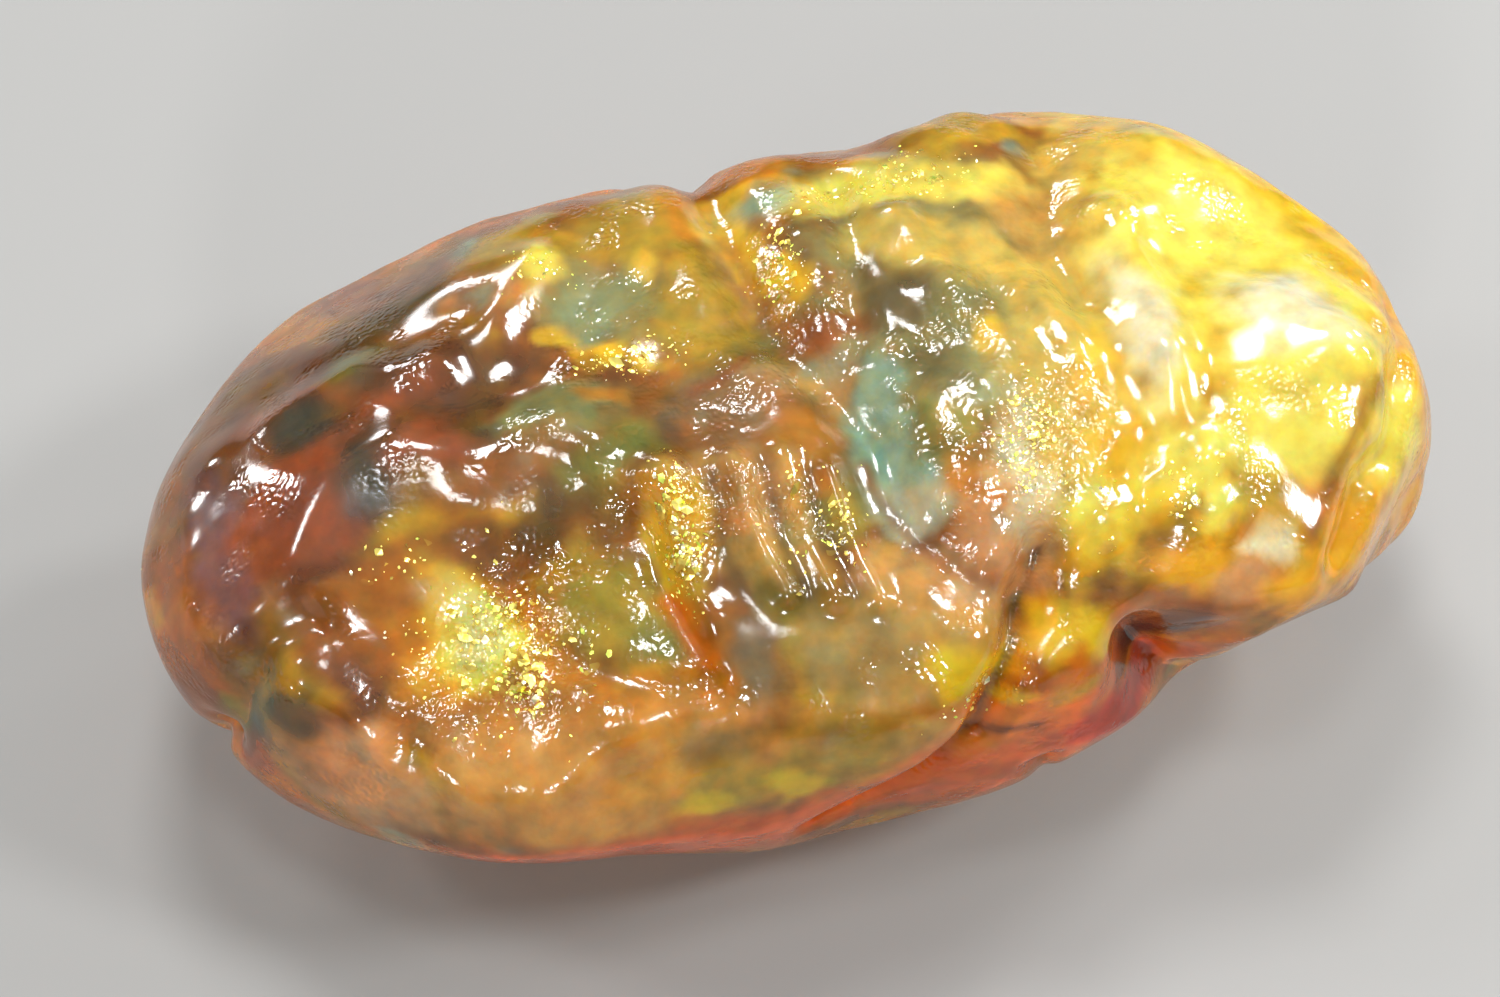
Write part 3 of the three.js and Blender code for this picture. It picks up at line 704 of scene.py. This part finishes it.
    ("yellow", (5.9, -5.8, 6.3), (1, 0.8, 0.8), 0.9),
    ("gold", (6.8, -6.6, 5.9), (1.6, 1, 0.9), 0.97),
    ("yellow", (6.8, -6.7, 5.9), (1, 0.7, 0.8), 0.5),
    ("amber", (8.4, -7.6, 4.7), (1.3, 0.8, 0.9), 0.9),
    ("olive", (11, -6.5, 5), (0.9, 0.7, 0.8), 0.7),
    ("pale gold and painted highlight", (10.4, -7.3, 4.6), (0.9, 0.4, 0.5), 0.85),
    ("peach", (12.4, -6.4, 4.5), (1, 0.8, 0.9), 0.8),
    ("amber", (13.4, -7, 2.6), (1.8, 1.1, 1.6), 0.95),
    ("yellow", (14.7, -4.7, 4.1), (1.6, 1.6, 1.9), 0.9),
    ("pink", (9.9, -8, 3.8), (1.2, 0.8, 0.9), 0.9),
    ("amber", (11.3, -7.9, 3), (1.2, 0.8, 1), 0.9),
    # the belly's end, the glassy block, the ledge under the front, and the dark pocket, darkened with
    # painted shade
    ("pink", (3.8, -7.3, 5.7), (1.2, 1, 0.9), 0.9),
    ("gold", (2.4, -8.7, 4.5), (1.3, 0.8, 0.9), 0.97),
    ("tan", (1.1, -9.4, 2.9), (1, 0.6, 0.7), 0.8),
    ("gold", (4.8, -8.3, 4.7), (1, 0.8, 0.9), 0.95),
    ("gold", (5.7, -8.5, 4.2), (0.7, 0.7, 0.8), 0.9),
    ("olive", (4.8, -9.3, 2.8), (0.9, 0.5, 0.5), 0.7),
    ("gold", (3.3, -9.2, 3.2), (0.6, 0.4, 0.4), 0.85),
    ("fire", (2.4, -9.8, -0.2), (3.2, 1.2, 1.6), 1),
    ("red", (6.8, -9.4, 0.4), (2.1, 1.3, 1.6), 0.95),
    ("fire", (6, -9.3, 2.2), (1, 0.8, 0.8), 0.6),
    # painted shade: umber and near-black in the pocket between the lobes
    ("umber", (7.9, -8.8, 2.8), (1.5, 1.4, 1.5), 0.8),
    ("dark", (8, -8.9, 2.4), (1.2, 1.2, 1.3), 0.95),
]

# Lines of one colour: colour, points, half-width, strength.
SEAMS = [
    ("ember", [(-15, -1.6, 5.1), (-13.4, -0.5, 5.8), (-12.2, -0.9, 6.3), (-10.9, 0.4, 6.7),
               (-9.6, 1, 6.9)], 0.42, 0.7),
    ("ember", [(-12.6, -3.1, 5.9), (-12.5, -1.6, 6.1), (-12.2, -0.9, 6.3)], 0.4, 0.55),
    ("ember", [(-14.2, 1.9, 5.2), (-12.4, 2.2, 6.1), (-10.9, 0.4, 6.7)], 0.38, 0.5),
    ("ember", [(-14.6, -2.6, 5), (-13.6, -3, 5.5), (-12.4, -3, 5.9)], 0.45, 0.55),
    ("orange", [(-4.7, -6.3, 6.4), (-4.2, -7.4, 5.7), (-3.9, -8.2, 5)], 0.36, 0.95),
    ("honey", [(-3.9, -8.2, 5), (-6.6, -7.8, 5.1), (-8.6, -7.2, 5.1)], 0.42, 0.8),
    ("honey", [(-9, -5, 6.3), (-7.9, -6.4, 5.8), (-7.6, -7.4, 5.3)], 0.3, 0.7),
    ("ember", [(0.9, -3.6, 7.4), (1.3, -5.4, 6.9), (2.4, -6.9, 6.1), (3.4, -7.3, 5.8)], 0.22, 0.6),
    # painted shade: near-black lines down the crack and along the foot of the lip over the ledge
    ("dark", [(4.8, -6.7, 6.1), (4.1, -8.1, 5), (3.2, -9, 3.8), (2.6, -9.6, 2.4)], 0.16, 0.8),
    ("dark", [(0.2, -9.8, 0.2), (1.6, -9.7, 1.4), (2.8, -9.6, 2.1), (4.4, -9.5, 1.9)], 0.2, 0.85),
    # umber in the grooves between the ribs and tan on two rib crests: the ribs' colour, and painted shade
    # and light that set their relief off
    ("umber", [(-3.2, -3.4, 7.3), (-3.2, -5, 6.9), (-2.8, -6.6, 6.3)], 0.26, 0.6),
    ("umber", [(-1.8, -3.2, 7.4), (-1.6, -5, 7), (-1.2, -6.9, 6.2)], 0.24, 0.6),
    ("umber", [(-0.6, -3.6, 7.3), (-0.4, -5.6, 6.8), (-0.1, -7.1, 6.1)], 0.22, 0.55),
    ("tan", [(-2.5, -3.2, 7.4), (-2.3, -4.7, 7.1), (-1.9, -6.4, 6.4)], 0.25, 0.5),
    ("tan", [(-1.2, -3.2, 7.4), (-1, -4.9, 7), (-0.7, -6.6, 6.3)], 0.25, 0.6),
    ("ember", [(-1, 4.4, 7.1), (-0.4, 1.6, 7.6), (0.6, -0.3, 7.6)], 0.35, 0.6),
    ("ember", [(-3, -0.9, 7.6), (-2, -0.5, 7.6), (-1.1, 0, 7.6)], 0.22, 0.6),
    ("rust", [(14.6, -3.4, 4.8), (13.4, -4.6, 5), (12.6, -5.8, 4.8), (11.8, -7.2, 4.2)], 0.3, 0.8),
]

# How colours flow: size, seeds and pull of a slow sway and a quick ripple, and their pull on seams;
# the noise that frays a patch's edge, and where that edge starts and ends.
SWAY = {"size": 2.6, "seeds": (21, 22, 23), "pull": 0.7, "on seams": 0.2}
RIPPLE = {"size": 1.0, "seeds": (24, 25, 26), "pull": 0.35, "on seams": 0.15}
FRAY = [(0.22, 0.8, 27), (0.14, 0.4, 28)]
PATCH_EDGE = (0.45, 1.35)
# the specks of the rind's painted orange glow: their least share, and their noise's height, size and seed
RIND_AND_GLOW_SPECKS = {"least": 0.7, "noise": (0.6, 0.7, 37)}

# Where the surface flashes with golden specks: middle, radii, strength.
FLASHES = [
    ((-10.1, -5.6, 5.7), (0.9, 1.1, 1), 1),  # the rough hollow
    ((-9.8, -5.9, 5.6), (1.9, 1.7, 1.5), 0.7),
    ((-8.7, -7, 4.9), (1.7, 1.4, 1.3), 0.85),
    ((-11.4, -3.8, 6.1), (1.4, 0.8, 1), 0.45),
    ((-4.1, -4.9, 6.9), (0.6, 1.9, 1), 0.9),  # the broad rib
    ((-0.6, -5.2, 6.9), (1.2, 1.6, 1), 0.4),
    ((5.1, -4.6, 7), (0.8, 1.7, 1), 0.7),  # the crest right of the green slab
    ((3.4, 5, 6.9), (2.8, 1, 1), 0.4),
    ((0, 2.5, 7.4), (0.8, 1.5, 1), 0.55),
    ((-4.3, 0.8, 7.5), (1.2, 0.6, 0.8), 0.6),
    ((-6.1, 4, 7), (1, 1, 1), 0.4),
    ((2.6, -9.1, 3.6), (1, 0.8, 0.8), 0.45),
    ((8.2, -6.2, 5.9), (1.8, 1, 1), 0.4),
    ((10.5, 7, -1), (3.5, 3, 2.5), 0.35),  # the back and the ends
    ((-10, 8, 0), (3.5, 3, 2.5), 0.3),
    ((-16.5, 2, -1.5), (2.5, 3, 2.5), 0.3),
]


def lay(tint, share, name):
    """Blends one colour over the tints by its share at each point."""
    return tint + share[:, None] * (COLOURS[name] - tint)


def patch_share(p, middle, radii, fray):
    """1 well inside the radii and 0 well past them, with the distance frayed by noise."""
    away = np.linalg.norm((p - np.array(middle)) / np.array(radii), axis=1) + fray
    return 1 - smooth(away, *PATCH_EDGE)


def lump_tints(p):
    """Each point's colour: brown amber with cloudy fields, then patches, seams and deep hollows.

    The places are bent by noise first, so that patches have flowing edges, frayed by finer noise.
    """
    sway, ripple = (np.stack([gradient_noise(p, flow["size"], seed) for seed in flow["seeds"]], 1)
                    for flow in (SWAY, RIPPLE))
    bent = p + SWAY["pull"] * sway + RIPPLE["pull"] * ripple
    bent_little = p + SWAY["on seams"] * sway + RIPPLE["on seams"] * ripple
    fray = layers(p, FRAY)
    tint = np.tile(COLOURS["rust"], (len(p), 1))
    for name, scale, seed, low, strength in CLOUDS:
        tint = lay(tint, strength * smooth(gradient_noise(bent, scale, seed), low, low + CLOUD_EDGE), name)
    specks = RIND_AND_GLOW_SPECKS["least"] + layers(p, [RIND_AND_GLOW_SPECKS["noise"]])
    # the rind: orange painted glow of light through the thin edges, on the sides turned from the camera
    tint = lay(tint, RIND_AND_EDGE_GLOW["strength"] * np.clip(rind_and_edge_glow_share(p) * specks, 0, 1), "rind_and_edge_glow")
    for name, middle, radii, strength in PATCHES:
        tint = lay(tint, strength * patch_share(bent, middle, radii, fray), name)
    for name, points, width, strength in SEAMS:
        line = np.exp(-((line_distance(bent_little, points) / width) ** 2))
        tint = lay(tint, strength * line, name)
    return tint


def flash_share(p):
    """How thickly golden specks lie at each point."""
    share = np.zeros(len(p))
    for middle, radii, strength in FLASHES:
        share = np.maximum(share, strength * fade(p, middle, radii))
    return share


# ------------ placing in the frame

def into_frame(q):
    """Takes the lump's points from millimetres to the frame, where they fill the node's box."""
    low, high = q.min(0), q.max(0)
    scale = (NODE_HIGH - NODE_LOW) / (high - low)
    return NODE_LOW + (q - low) * scale


def make_object(name, points, faces, smooth_faces=True):
    """A mesh object at the origin, with its place in its mesh."""
    mesh = bpy.data.meshes.new(name)
    mesh.from_pydata(points.tolist(), [], faces.tolist())
    mesh.polygons.foreach_set("use_smooth", np.full(len(faces), smooth_faces))
    mesh.update()
    piece = bpy.data.objects.new(name, mesh)
    bpy.context.scene.collection.objects.link(piece)
    return piece


def store(piece, name, values):
    """Keeps one value, or one colour, for each point of a piece's mesh."""
    kind = "FLOAT" if values.ndim == 1 else "FLOAT_COLOR"
    if kind == "FLOAT_COLOR":
        values = np.concatenate([values, np.ones((len(values), 1))], 1)
    attribute = piece.data.attributes.new(name, kind, "POINT")
    field = "value" if kind == "FLOAT" else "color"
    attribute.data.foreach_set(field, values.astype(np.float32).ravel())


# ------------ materials

def new_material(name):
    """An empty node material and its Principled shader."""
    material = bpy.data.materials.new(name)
    material.use_nodes = True
    return material, material.node_tree.nodes["Principled BSDF"]


class Nodes:
    """Short ways to add nodes to one material."""

    def __init__(self, material):
        self.tree = material.node_tree
        self.place = self.add("ShaderNodeTexCoord").outputs["Object"]

    def add(self, kind, **settings):
        node = self.tree.nodes.new(kind)
        for name, value in settings.items():
            setattr(node, name, value)
        return node

    def link(self, source, socket):
        """Joins an output to an input, or sets the input if the source is a plain value."""
        if isinstance(source, bpy.types.NodeSocket):
            self.tree.links.new(source, socket)
        else:
            socket.default_value = source

    def attribute(self, name, output="Fac"):
        return self.add("ShaderNodeAttribute", attribute_name=name).outputs[output]

    def noise(self, size_mm, detail):
        node = self.add("ShaderNodeTexNoise")
        set_values(node, {"Scale": 1 / (size_mm * MM), "Detail": detail})
        self.link(self.place, node.inputs["Vector"])
        return node.outputs["Fac"]

    def cells(self, size_mm):
        node = self.add("ShaderNodeTexVoronoi")
        set_values(node, {"Scale": 1 / (size_mm * MM)})
        self.link(self.place, node.inputs["Vector"])
        return node.outputs["Color"]

    def range(self, value, *ends):
        node = self.add("ShaderNodeMapRange")
        self.link(value, node.inputs["Value"])
        set_values(node, dict(zip(("From Min", "From Max", "To Min", "To Max"), ends)))
        return node.outputs["Result"]

    def sum(self, operation, first, second):
        node = self.add("ShaderNodeMath", operation=operation)
        self.link(first, node.inputs[0])
        self.link(second, node.inputs[1])
        return node.outputs["Value"]

    def mix(self, share, first, second, blend="MIX"):
        node = self.add("ShaderNodeMix", data_type="RGBA", blend_type=blend)
        for source, name in ((share, "Factor_Float"), (first, "A_Color"), (second, "B_Color")):
            socket = next(s for s in node.inputs if s.identifier == name)
            self.link(source, socket)
        return next(s for s in node.outputs if s.identifier == "Result_Color")


# What the mesh stores at each point for the material, beside the tint.
SHARES = ("rough", "flash", "rind_and_edge_glow", "calm", "bumps")

# The amber's shader: its plain values, and its absorption. Depths are in millimetres.
AMBER = {"IOR": 1.54, "Transmission Weight": 0.6, "Subsurface Weight": 0.6,
         "Subsurface Radius": (1.0, 0.5, 0.15), "Subsurface Scale": 0.7 * MM}
ABSORBED = {"Color": (0.97, 0.78, 0.12, 1), "Density": 0.12 / MM}
BUMP = {"Strength": 0.5, "Distance": 0.10 * MM}

# Patterns. A noise has its size in millimetres and its detail. A range has the lowest and highest
# value that goes in, and what comes out for each of them.
SHADE_NOISE, SHADE = (0.9, 3), (0.3, 0.7, 0.78, 1.25)
WARMTH_NOISE, WARMTH = (0.5, 3), (0.35, 0.65, 0, 1)
COOL, WARM = (0.90, 1.0, 1.08, 1), (1.10, 1.0, 0.85, 1)
FLECK = {"cell": 0.22, "more in flashes": 0.35, "range": (1.0, 1.1, 0, 1), "share": 0.8,
         "colour": (1.0, 0.80, 0.12, 1)}
ROUGHNESS_NOISE, ROUGHNESS, RIND_ROUGHNESS = (1.4, 2), (0.35, 0.65, 0.10, 0.20), (0, 1, 0.0, 0.15)
GRAIN_NOISE, GRAIN_BY_ROUGH = (0.25, 2), (0, 1, 0.12, 0.5)
BUMP_NOISE, BUMP_RANGE, BUMP_BY_CALM = (0.16, 0), (0.25, 0.75, 0, 1), (0, 1, 1.0, 0.15)
SPANGLE_NOISE, SPANGLE_SHADE = (0.5, 2), (0.3, 0.7, 0.8, 1.1)


def set_values(node, values):
    """Sets a node's sockets to plain values, by name."""
    for name, value in values.items():
        node.inputs[name].default_value = value


def amber_material():
    """Wet, see-through amber: colours from the mesh, mottling, flecks, fine bumps, brown absorption."""
    material, shader = new_material("amber")
    nodes = Nodes(material)
    rough, flash, rind_and_edge_glow, calm, bumps = (nodes.attribute(name) for name in SHARES)
    # cloudy light and shade, and a warm or cool turn of the colour
    shade = nodes.range(nodes.noise(*SHADE_NOISE), *SHADE)
    turn = nodes.mix(nodes.range(nodes.noise(*WARMTH_NOISE), *WARMTH), COOL, WARM)
    colour = nodes.mix(1.0, nodes.attribute("tint", "Color"), turn, "MULTIPLY")
    colour = nodes.mix(1.0, colour, shade, "MULTIPLY")
    # golden flecks, each a bright cell
    more = nodes.sum("MULTIPLY", flash, FLECK["more in flashes"])
    cell = nodes.sum("ADD", nodes.cells(FLECK["cell"]), more)
    bright = nodes.sum("MULTIPLY", nodes.range(cell, *FLECK["range"]), FLECK["share"])
    nodes.link(nodes.mix(bright, colour, FLECK["colour"]), shader.inputs["Base Color"])
    roughness = nodes.range(nodes.noise(*ROUGHNESS_NOISE), *ROUGHNESS)
    nodes.link(nodes.sum("ADD", roughness, nodes.range(rind_and_edge_glow, *RIND_ROUGHNESS)), shader.inputs["Roughness"])
    # fine bumps: grain everywhere, and small bumps on the rough ground and in drifts
    grains = nodes.sum("MULTIPLY", nodes.noise(*GRAIN_NOISE), nodes.range(rough, *GRAIN_BY_ROUGH))
    small = nodes.sum("MULTIPLY", nodes.range(nodes.noise(*BUMP_NOISE), *BUMP_RANGE), bumps)
    bump = nodes.add("ShaderNodeBump")
    set_values(bump, BUMP)
    height = nodes.sum("ADD", grains, small)
    nodes.link(nodes.sum("MULTIPLY", height, nodes.range(calm, *BUMP_BY_CALM)), bump.inputs["Height"])
    nodes.link(bump.outputs["Normal"], shader.inputs["Normal"])
    set_values(shader, AMBER)
    absorption = nodes.add("ShaderNodeVolumeAbsorption")
    set_values(absorption, ABSORBED)
    nodes.link(absorption.outputs["Volume"], material.node_tree.nodes["Material Output"].inputs["Volume"])
    return material


def spangle_material(name, colour, roughness):
    """Bright metal-like mirror of a spangle."""
    material, shader = new_material(name)
    nodes = Nodes(material)
    shade = nodes.range(nodes.noise(*SPANGLE_NOISE), *SPANGLE_SHADE)
    nodes.link(nodes.mix(1.0, (*colour, 1), shade, "MULTIPLY"), shader.inputs["Base Color"])
    set_values(shader, {"Metallic": 1, "Roughness": roughness})
    return material


# ------------ pieces

def make_lump():
    """The lump itself. Returns it with its flash shares, which say where its spangles lie."""
    directions, faces = box_grid(GRID)
    p = on_body(directions)
    piece = make_object("amber_surface", into_frame(lump_surface(p)), faces)
    flash = flash_share(p)
    store(piece, "tint", lump_tints(p))
    for name, values in zip(SHARES, (rough_share(p), flash, rind_and_edge_glow_share(p), calm_share(p), bump_share(p))):
        store(piece, name, values)
    piece.data.materials.append(amber_material())
    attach(piece, "root")
    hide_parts(NODE)
    return piece, flash


# Groups of spangles: piece, material, number, middling radius in millimetres, colour, roughness, seed.
SPANGLES = [
    ("golden_spangles", "spangle_gold", 1300, 0.07, (1.0, 0.84, 0.20), 0.35, 61),
    ("green_spangles", "spangle_green", 400, 0.06, (0.76, 0.92, 0.16), 0.35, 62),
    ("pale_spangles", "spangle_pale", 450, 0.05, (1.0, 0.93, 0.60), 0.30, 63),
]


def make_spangles(name, lump, share, count, median_mm, material, seed):
    """Tiny lens-shaped discs set in the lump's skin, thickest where the share is high.

    Each disc is a ring of points, with one point above and one below its middle. The middle lies
    near a point of the lump's mesh, sunk a little, and the disc leans by a random amount.
    """
    draw = np.random.default_rng(seed)
    mesh = lump.data
    places, normals = np.empty(3 * len(mesh.vertices)), np.empty(3 * len(mesh.vertices))
    mesh.vertices.foreach_get("co", places)
    mesh.vertices.foreach_get("normal", normals)
    places, normals = places.reshape(-1, 3), normals.reshape(-1, 3)
    clumps = smooth(gradient_noise(places / MM, SPANGLE["clump"], seed), *SPANGLE["edge"])
    chance = clumps * share**2
    chance /= chance.sum()
    picked = draw.choice(len(share), count, replace=False, p=chance)
    out = normals[picked]
    shift = SPANGLE["scatter"] * MM * draw.normal(size=(count, 3))
    middle = places[picked] + shift - (shift * out).sum(1)[:, None] * out
    typical = median_mm * (SPANGLE["least"] + share[picked] ** 2)
    size = typical * np.exp(SPANGLE["spread"] * draw.normal(size=count))
    radius = np.clip(size, *SPANGLE["radius"])[:, None] * MM
    lean = out + SPANGLE["lean"] * draw.normal(size=(count, 3))
    lean /= np.linalg.norm(lean, axis=1)[:, None]
    side = np.cross(lean, draw.normal(size=(count, 3)))
    side /= np.linalg.norm(side, axis=1)[:, None]
    other = np.cross(lean, side)
    middle = middle - SPANGLE["sink"] * radius * out
    n = SPANGLE["points"]
    turn = np.arange(n) * 2 * math.pi / n
    ring = [middle + radius * (math.cos(t) * side + SPANGLE["narrow"] * math.sin(t) * other) for t in turn]
    poles = [middle + sign * SPANGLE["bulge"] * radius * lean for sign in (1, -1)]
    points = np.stack(ring + poles, 1).reshape(-1, 3)
    here, after = np.arange(n), (np.arange(n) + 1) % n
    disc = np.concatenate([np.stack([here, after, np.full(n, n)], 1),
                           np.stack([after, here, np.full(n, n + 1)], 1)])
    faces = (disc[None] + (n + 2) * np.arange(count)[:, None, None]).reshape(-1, 3)
    piece = make_object(name, points, faces, False)
    piece.data.materials.append(material)
    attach(piece, "root")


# ------------ floor, light and camera

LENGTH = LENGTH_MM * MM
FLOOR_SIDES = 96
FLOOR_LENGTHS = 6  # the floor's radius, in the lump's lengths
FLOOR_COLOUR = (0.25, 0.25, 0.245, 1)


def make_floor():
    """A plain round floor under the flat face."""
    turn = np.linspace(0, 2 * math.pi, FLOOR_SIDES, endpoint=False)
    radius = FLOOR_LENGTHS * LENGTH
    points = np.stack([radius * np.cos(turn), radius * np.sin(turn), np.full(FLOOR_SIDES, NODE_LOW[2])], 1)
    floor = make_object("floor", points, np.arange(FLOOR_SIDES)[None], False)
    material, shader = new_material("pale_floor")
    set_values(shader, {"Base Color": FLOOR_COLOUR, "Roughness": 0.9})
    floor.data.materials.append(material)


LAMP_LENGTHS = 5  # how far away the lamps stand, in the lump's lengths

# Lamps: name, azimuth from the front, elevation, size in the lump's lengths, power for a length of 1 m.
LAMPS = [
    ("key", -175, 75, 1.3, 135),
    ("front_high", -20, 76, 0.9, 50),
    ("back_low", -166, 26, 1.1, 62),
    ("left_high", -105, 42, 0.8, 48),
    ("right_high", 105, 44, 0.9, 110),
    ("right_low", 118, 15, 0.7, 55),
    ("right", 88, 24, 0.7, 55),
    ("front_right", 60, 50, 0.9, 115),
    ("front_low", -15, 26, 0.7, 105),
    ("left", -132, 10, 0.6, 36),
    ("front_left", -60, 20, 0.5, 32),
]


def towards(azimuth, elevation):
    """The unit direction at an azimuth from the front (-Y), turning towards +X, and an elevation."""
    azimuth, elevation = math.radians(azimuth), math.radians(elevation)
    level = math.cos(elevation)
    return Vector((math.sin(azimuth) * level, -math.cos(azimuth) * level, math.sin(elevation)))


def add_lamp(name, azimuth, elevation, size, power):
    """A round area light that faces the lump."""
    lamp = bpy.data.lights.new(name, "AREA")
    lamp.shape = "DISK"
    lamp.size = size * LENGTH
    lamp.energy = power * LENGTH**2
    holder = bpy.data.objects.new(name, lamp)
    way = towards(azimuth, elevation)
    holder.location = way * LAMP_LENGTHS * LENGTH
    holder.rotation_euler = way.to_track_quat("Z", "Y").to_euler()
    bpy.context.scene.collection.objects.link(holder)


DOME = {"From Min": 0.1, "From Max": 0.9, "To Min": 0.05, "To Max": 0.55}  # strength over height
DOME_COLOUR = (1.0, 0.98, 0.95, 1)


def make_light():
    """A soft dome that is brightest overhead and dim at the horizon, and lamps for the wet glints."""
    world = bpy.data.worlds.new("studio")
    world.use_nodes = True
    nodes, links = world.node_tree.nodes, world.node_tree.links
    place = nodes.new("ShaderNodeTexCoord")
    height = nodes.new("ShaderNodeSeparateXYZ")
    links.new(place.outputs["Generated"], height.inputs["Vector"])
    dome = nodes.new("ShaderNodeMapRange")
    set_values(dome, DOME)
    links.new(height.outputs["Z"], dome.inputs["Value"])
    links.new(dome.outputs["Result"], nodes["Background"].inputs["Strength"])
    nodes["Background"].inputs["Color"].default_value = DOME_COLOUR
    bpy.context.scene.world = world
    for name, azimuth, elevation, size, power in LAMPS:
        add_lamp(name, azimuth, elevation, size, power)


# The camera: azimuth, elevation, distance in the lump's lengths, and lens. It aims so many millimetres
# above the frame's floor and left of its middle.
AZIMUTH, ELEVATION, DISTANCE, LENS = -12, 54, 3.25, 100
AIM_UP, AIM_LEFT = 7.4, 0.96


def make_camera():
    """A long lens that looks down on the front, a little from the left."""
    way = towards(AZIMUTH, ELEVATION)
    turn = math.radians(AZIMUTH)
    rightward = Vector((math.cos(turn), math.sin(turn), 0))
    aim = Vector((0, 0, AIM_UP)) * MM - AIM_LEFT * MM * rightward
    camera = bpy.data.cameras.new("camera")
    camera.lens = LENS
    camera.sensor_width = 36
    camera.clip_start = 0.01 * LENGTH
    camera.clip_end = 1000 * LENGTH
    holder = bpy.data.objects.new("camera", camera)
    holder.location = aim + way * DISTANCE * LENGTH
    holder.rotation_euler = way.to_track_quat("Z", "Y").to_euler()
    bpy.context.scene.collection.objects.link(holder)
    bpy.context.scene.camera = holder


lump, flash = make_lump()
for name, coat, count, median_mm, colour, roughness, seed in SPANGLES:
    make_spangles(name, lump, flash, count, median_mm, spangle_material(coat, colour, roughness), seed)
make_floor()
make_light()
make_camera()
bpy.context.scene.view_settings.view_transform = "Standard"
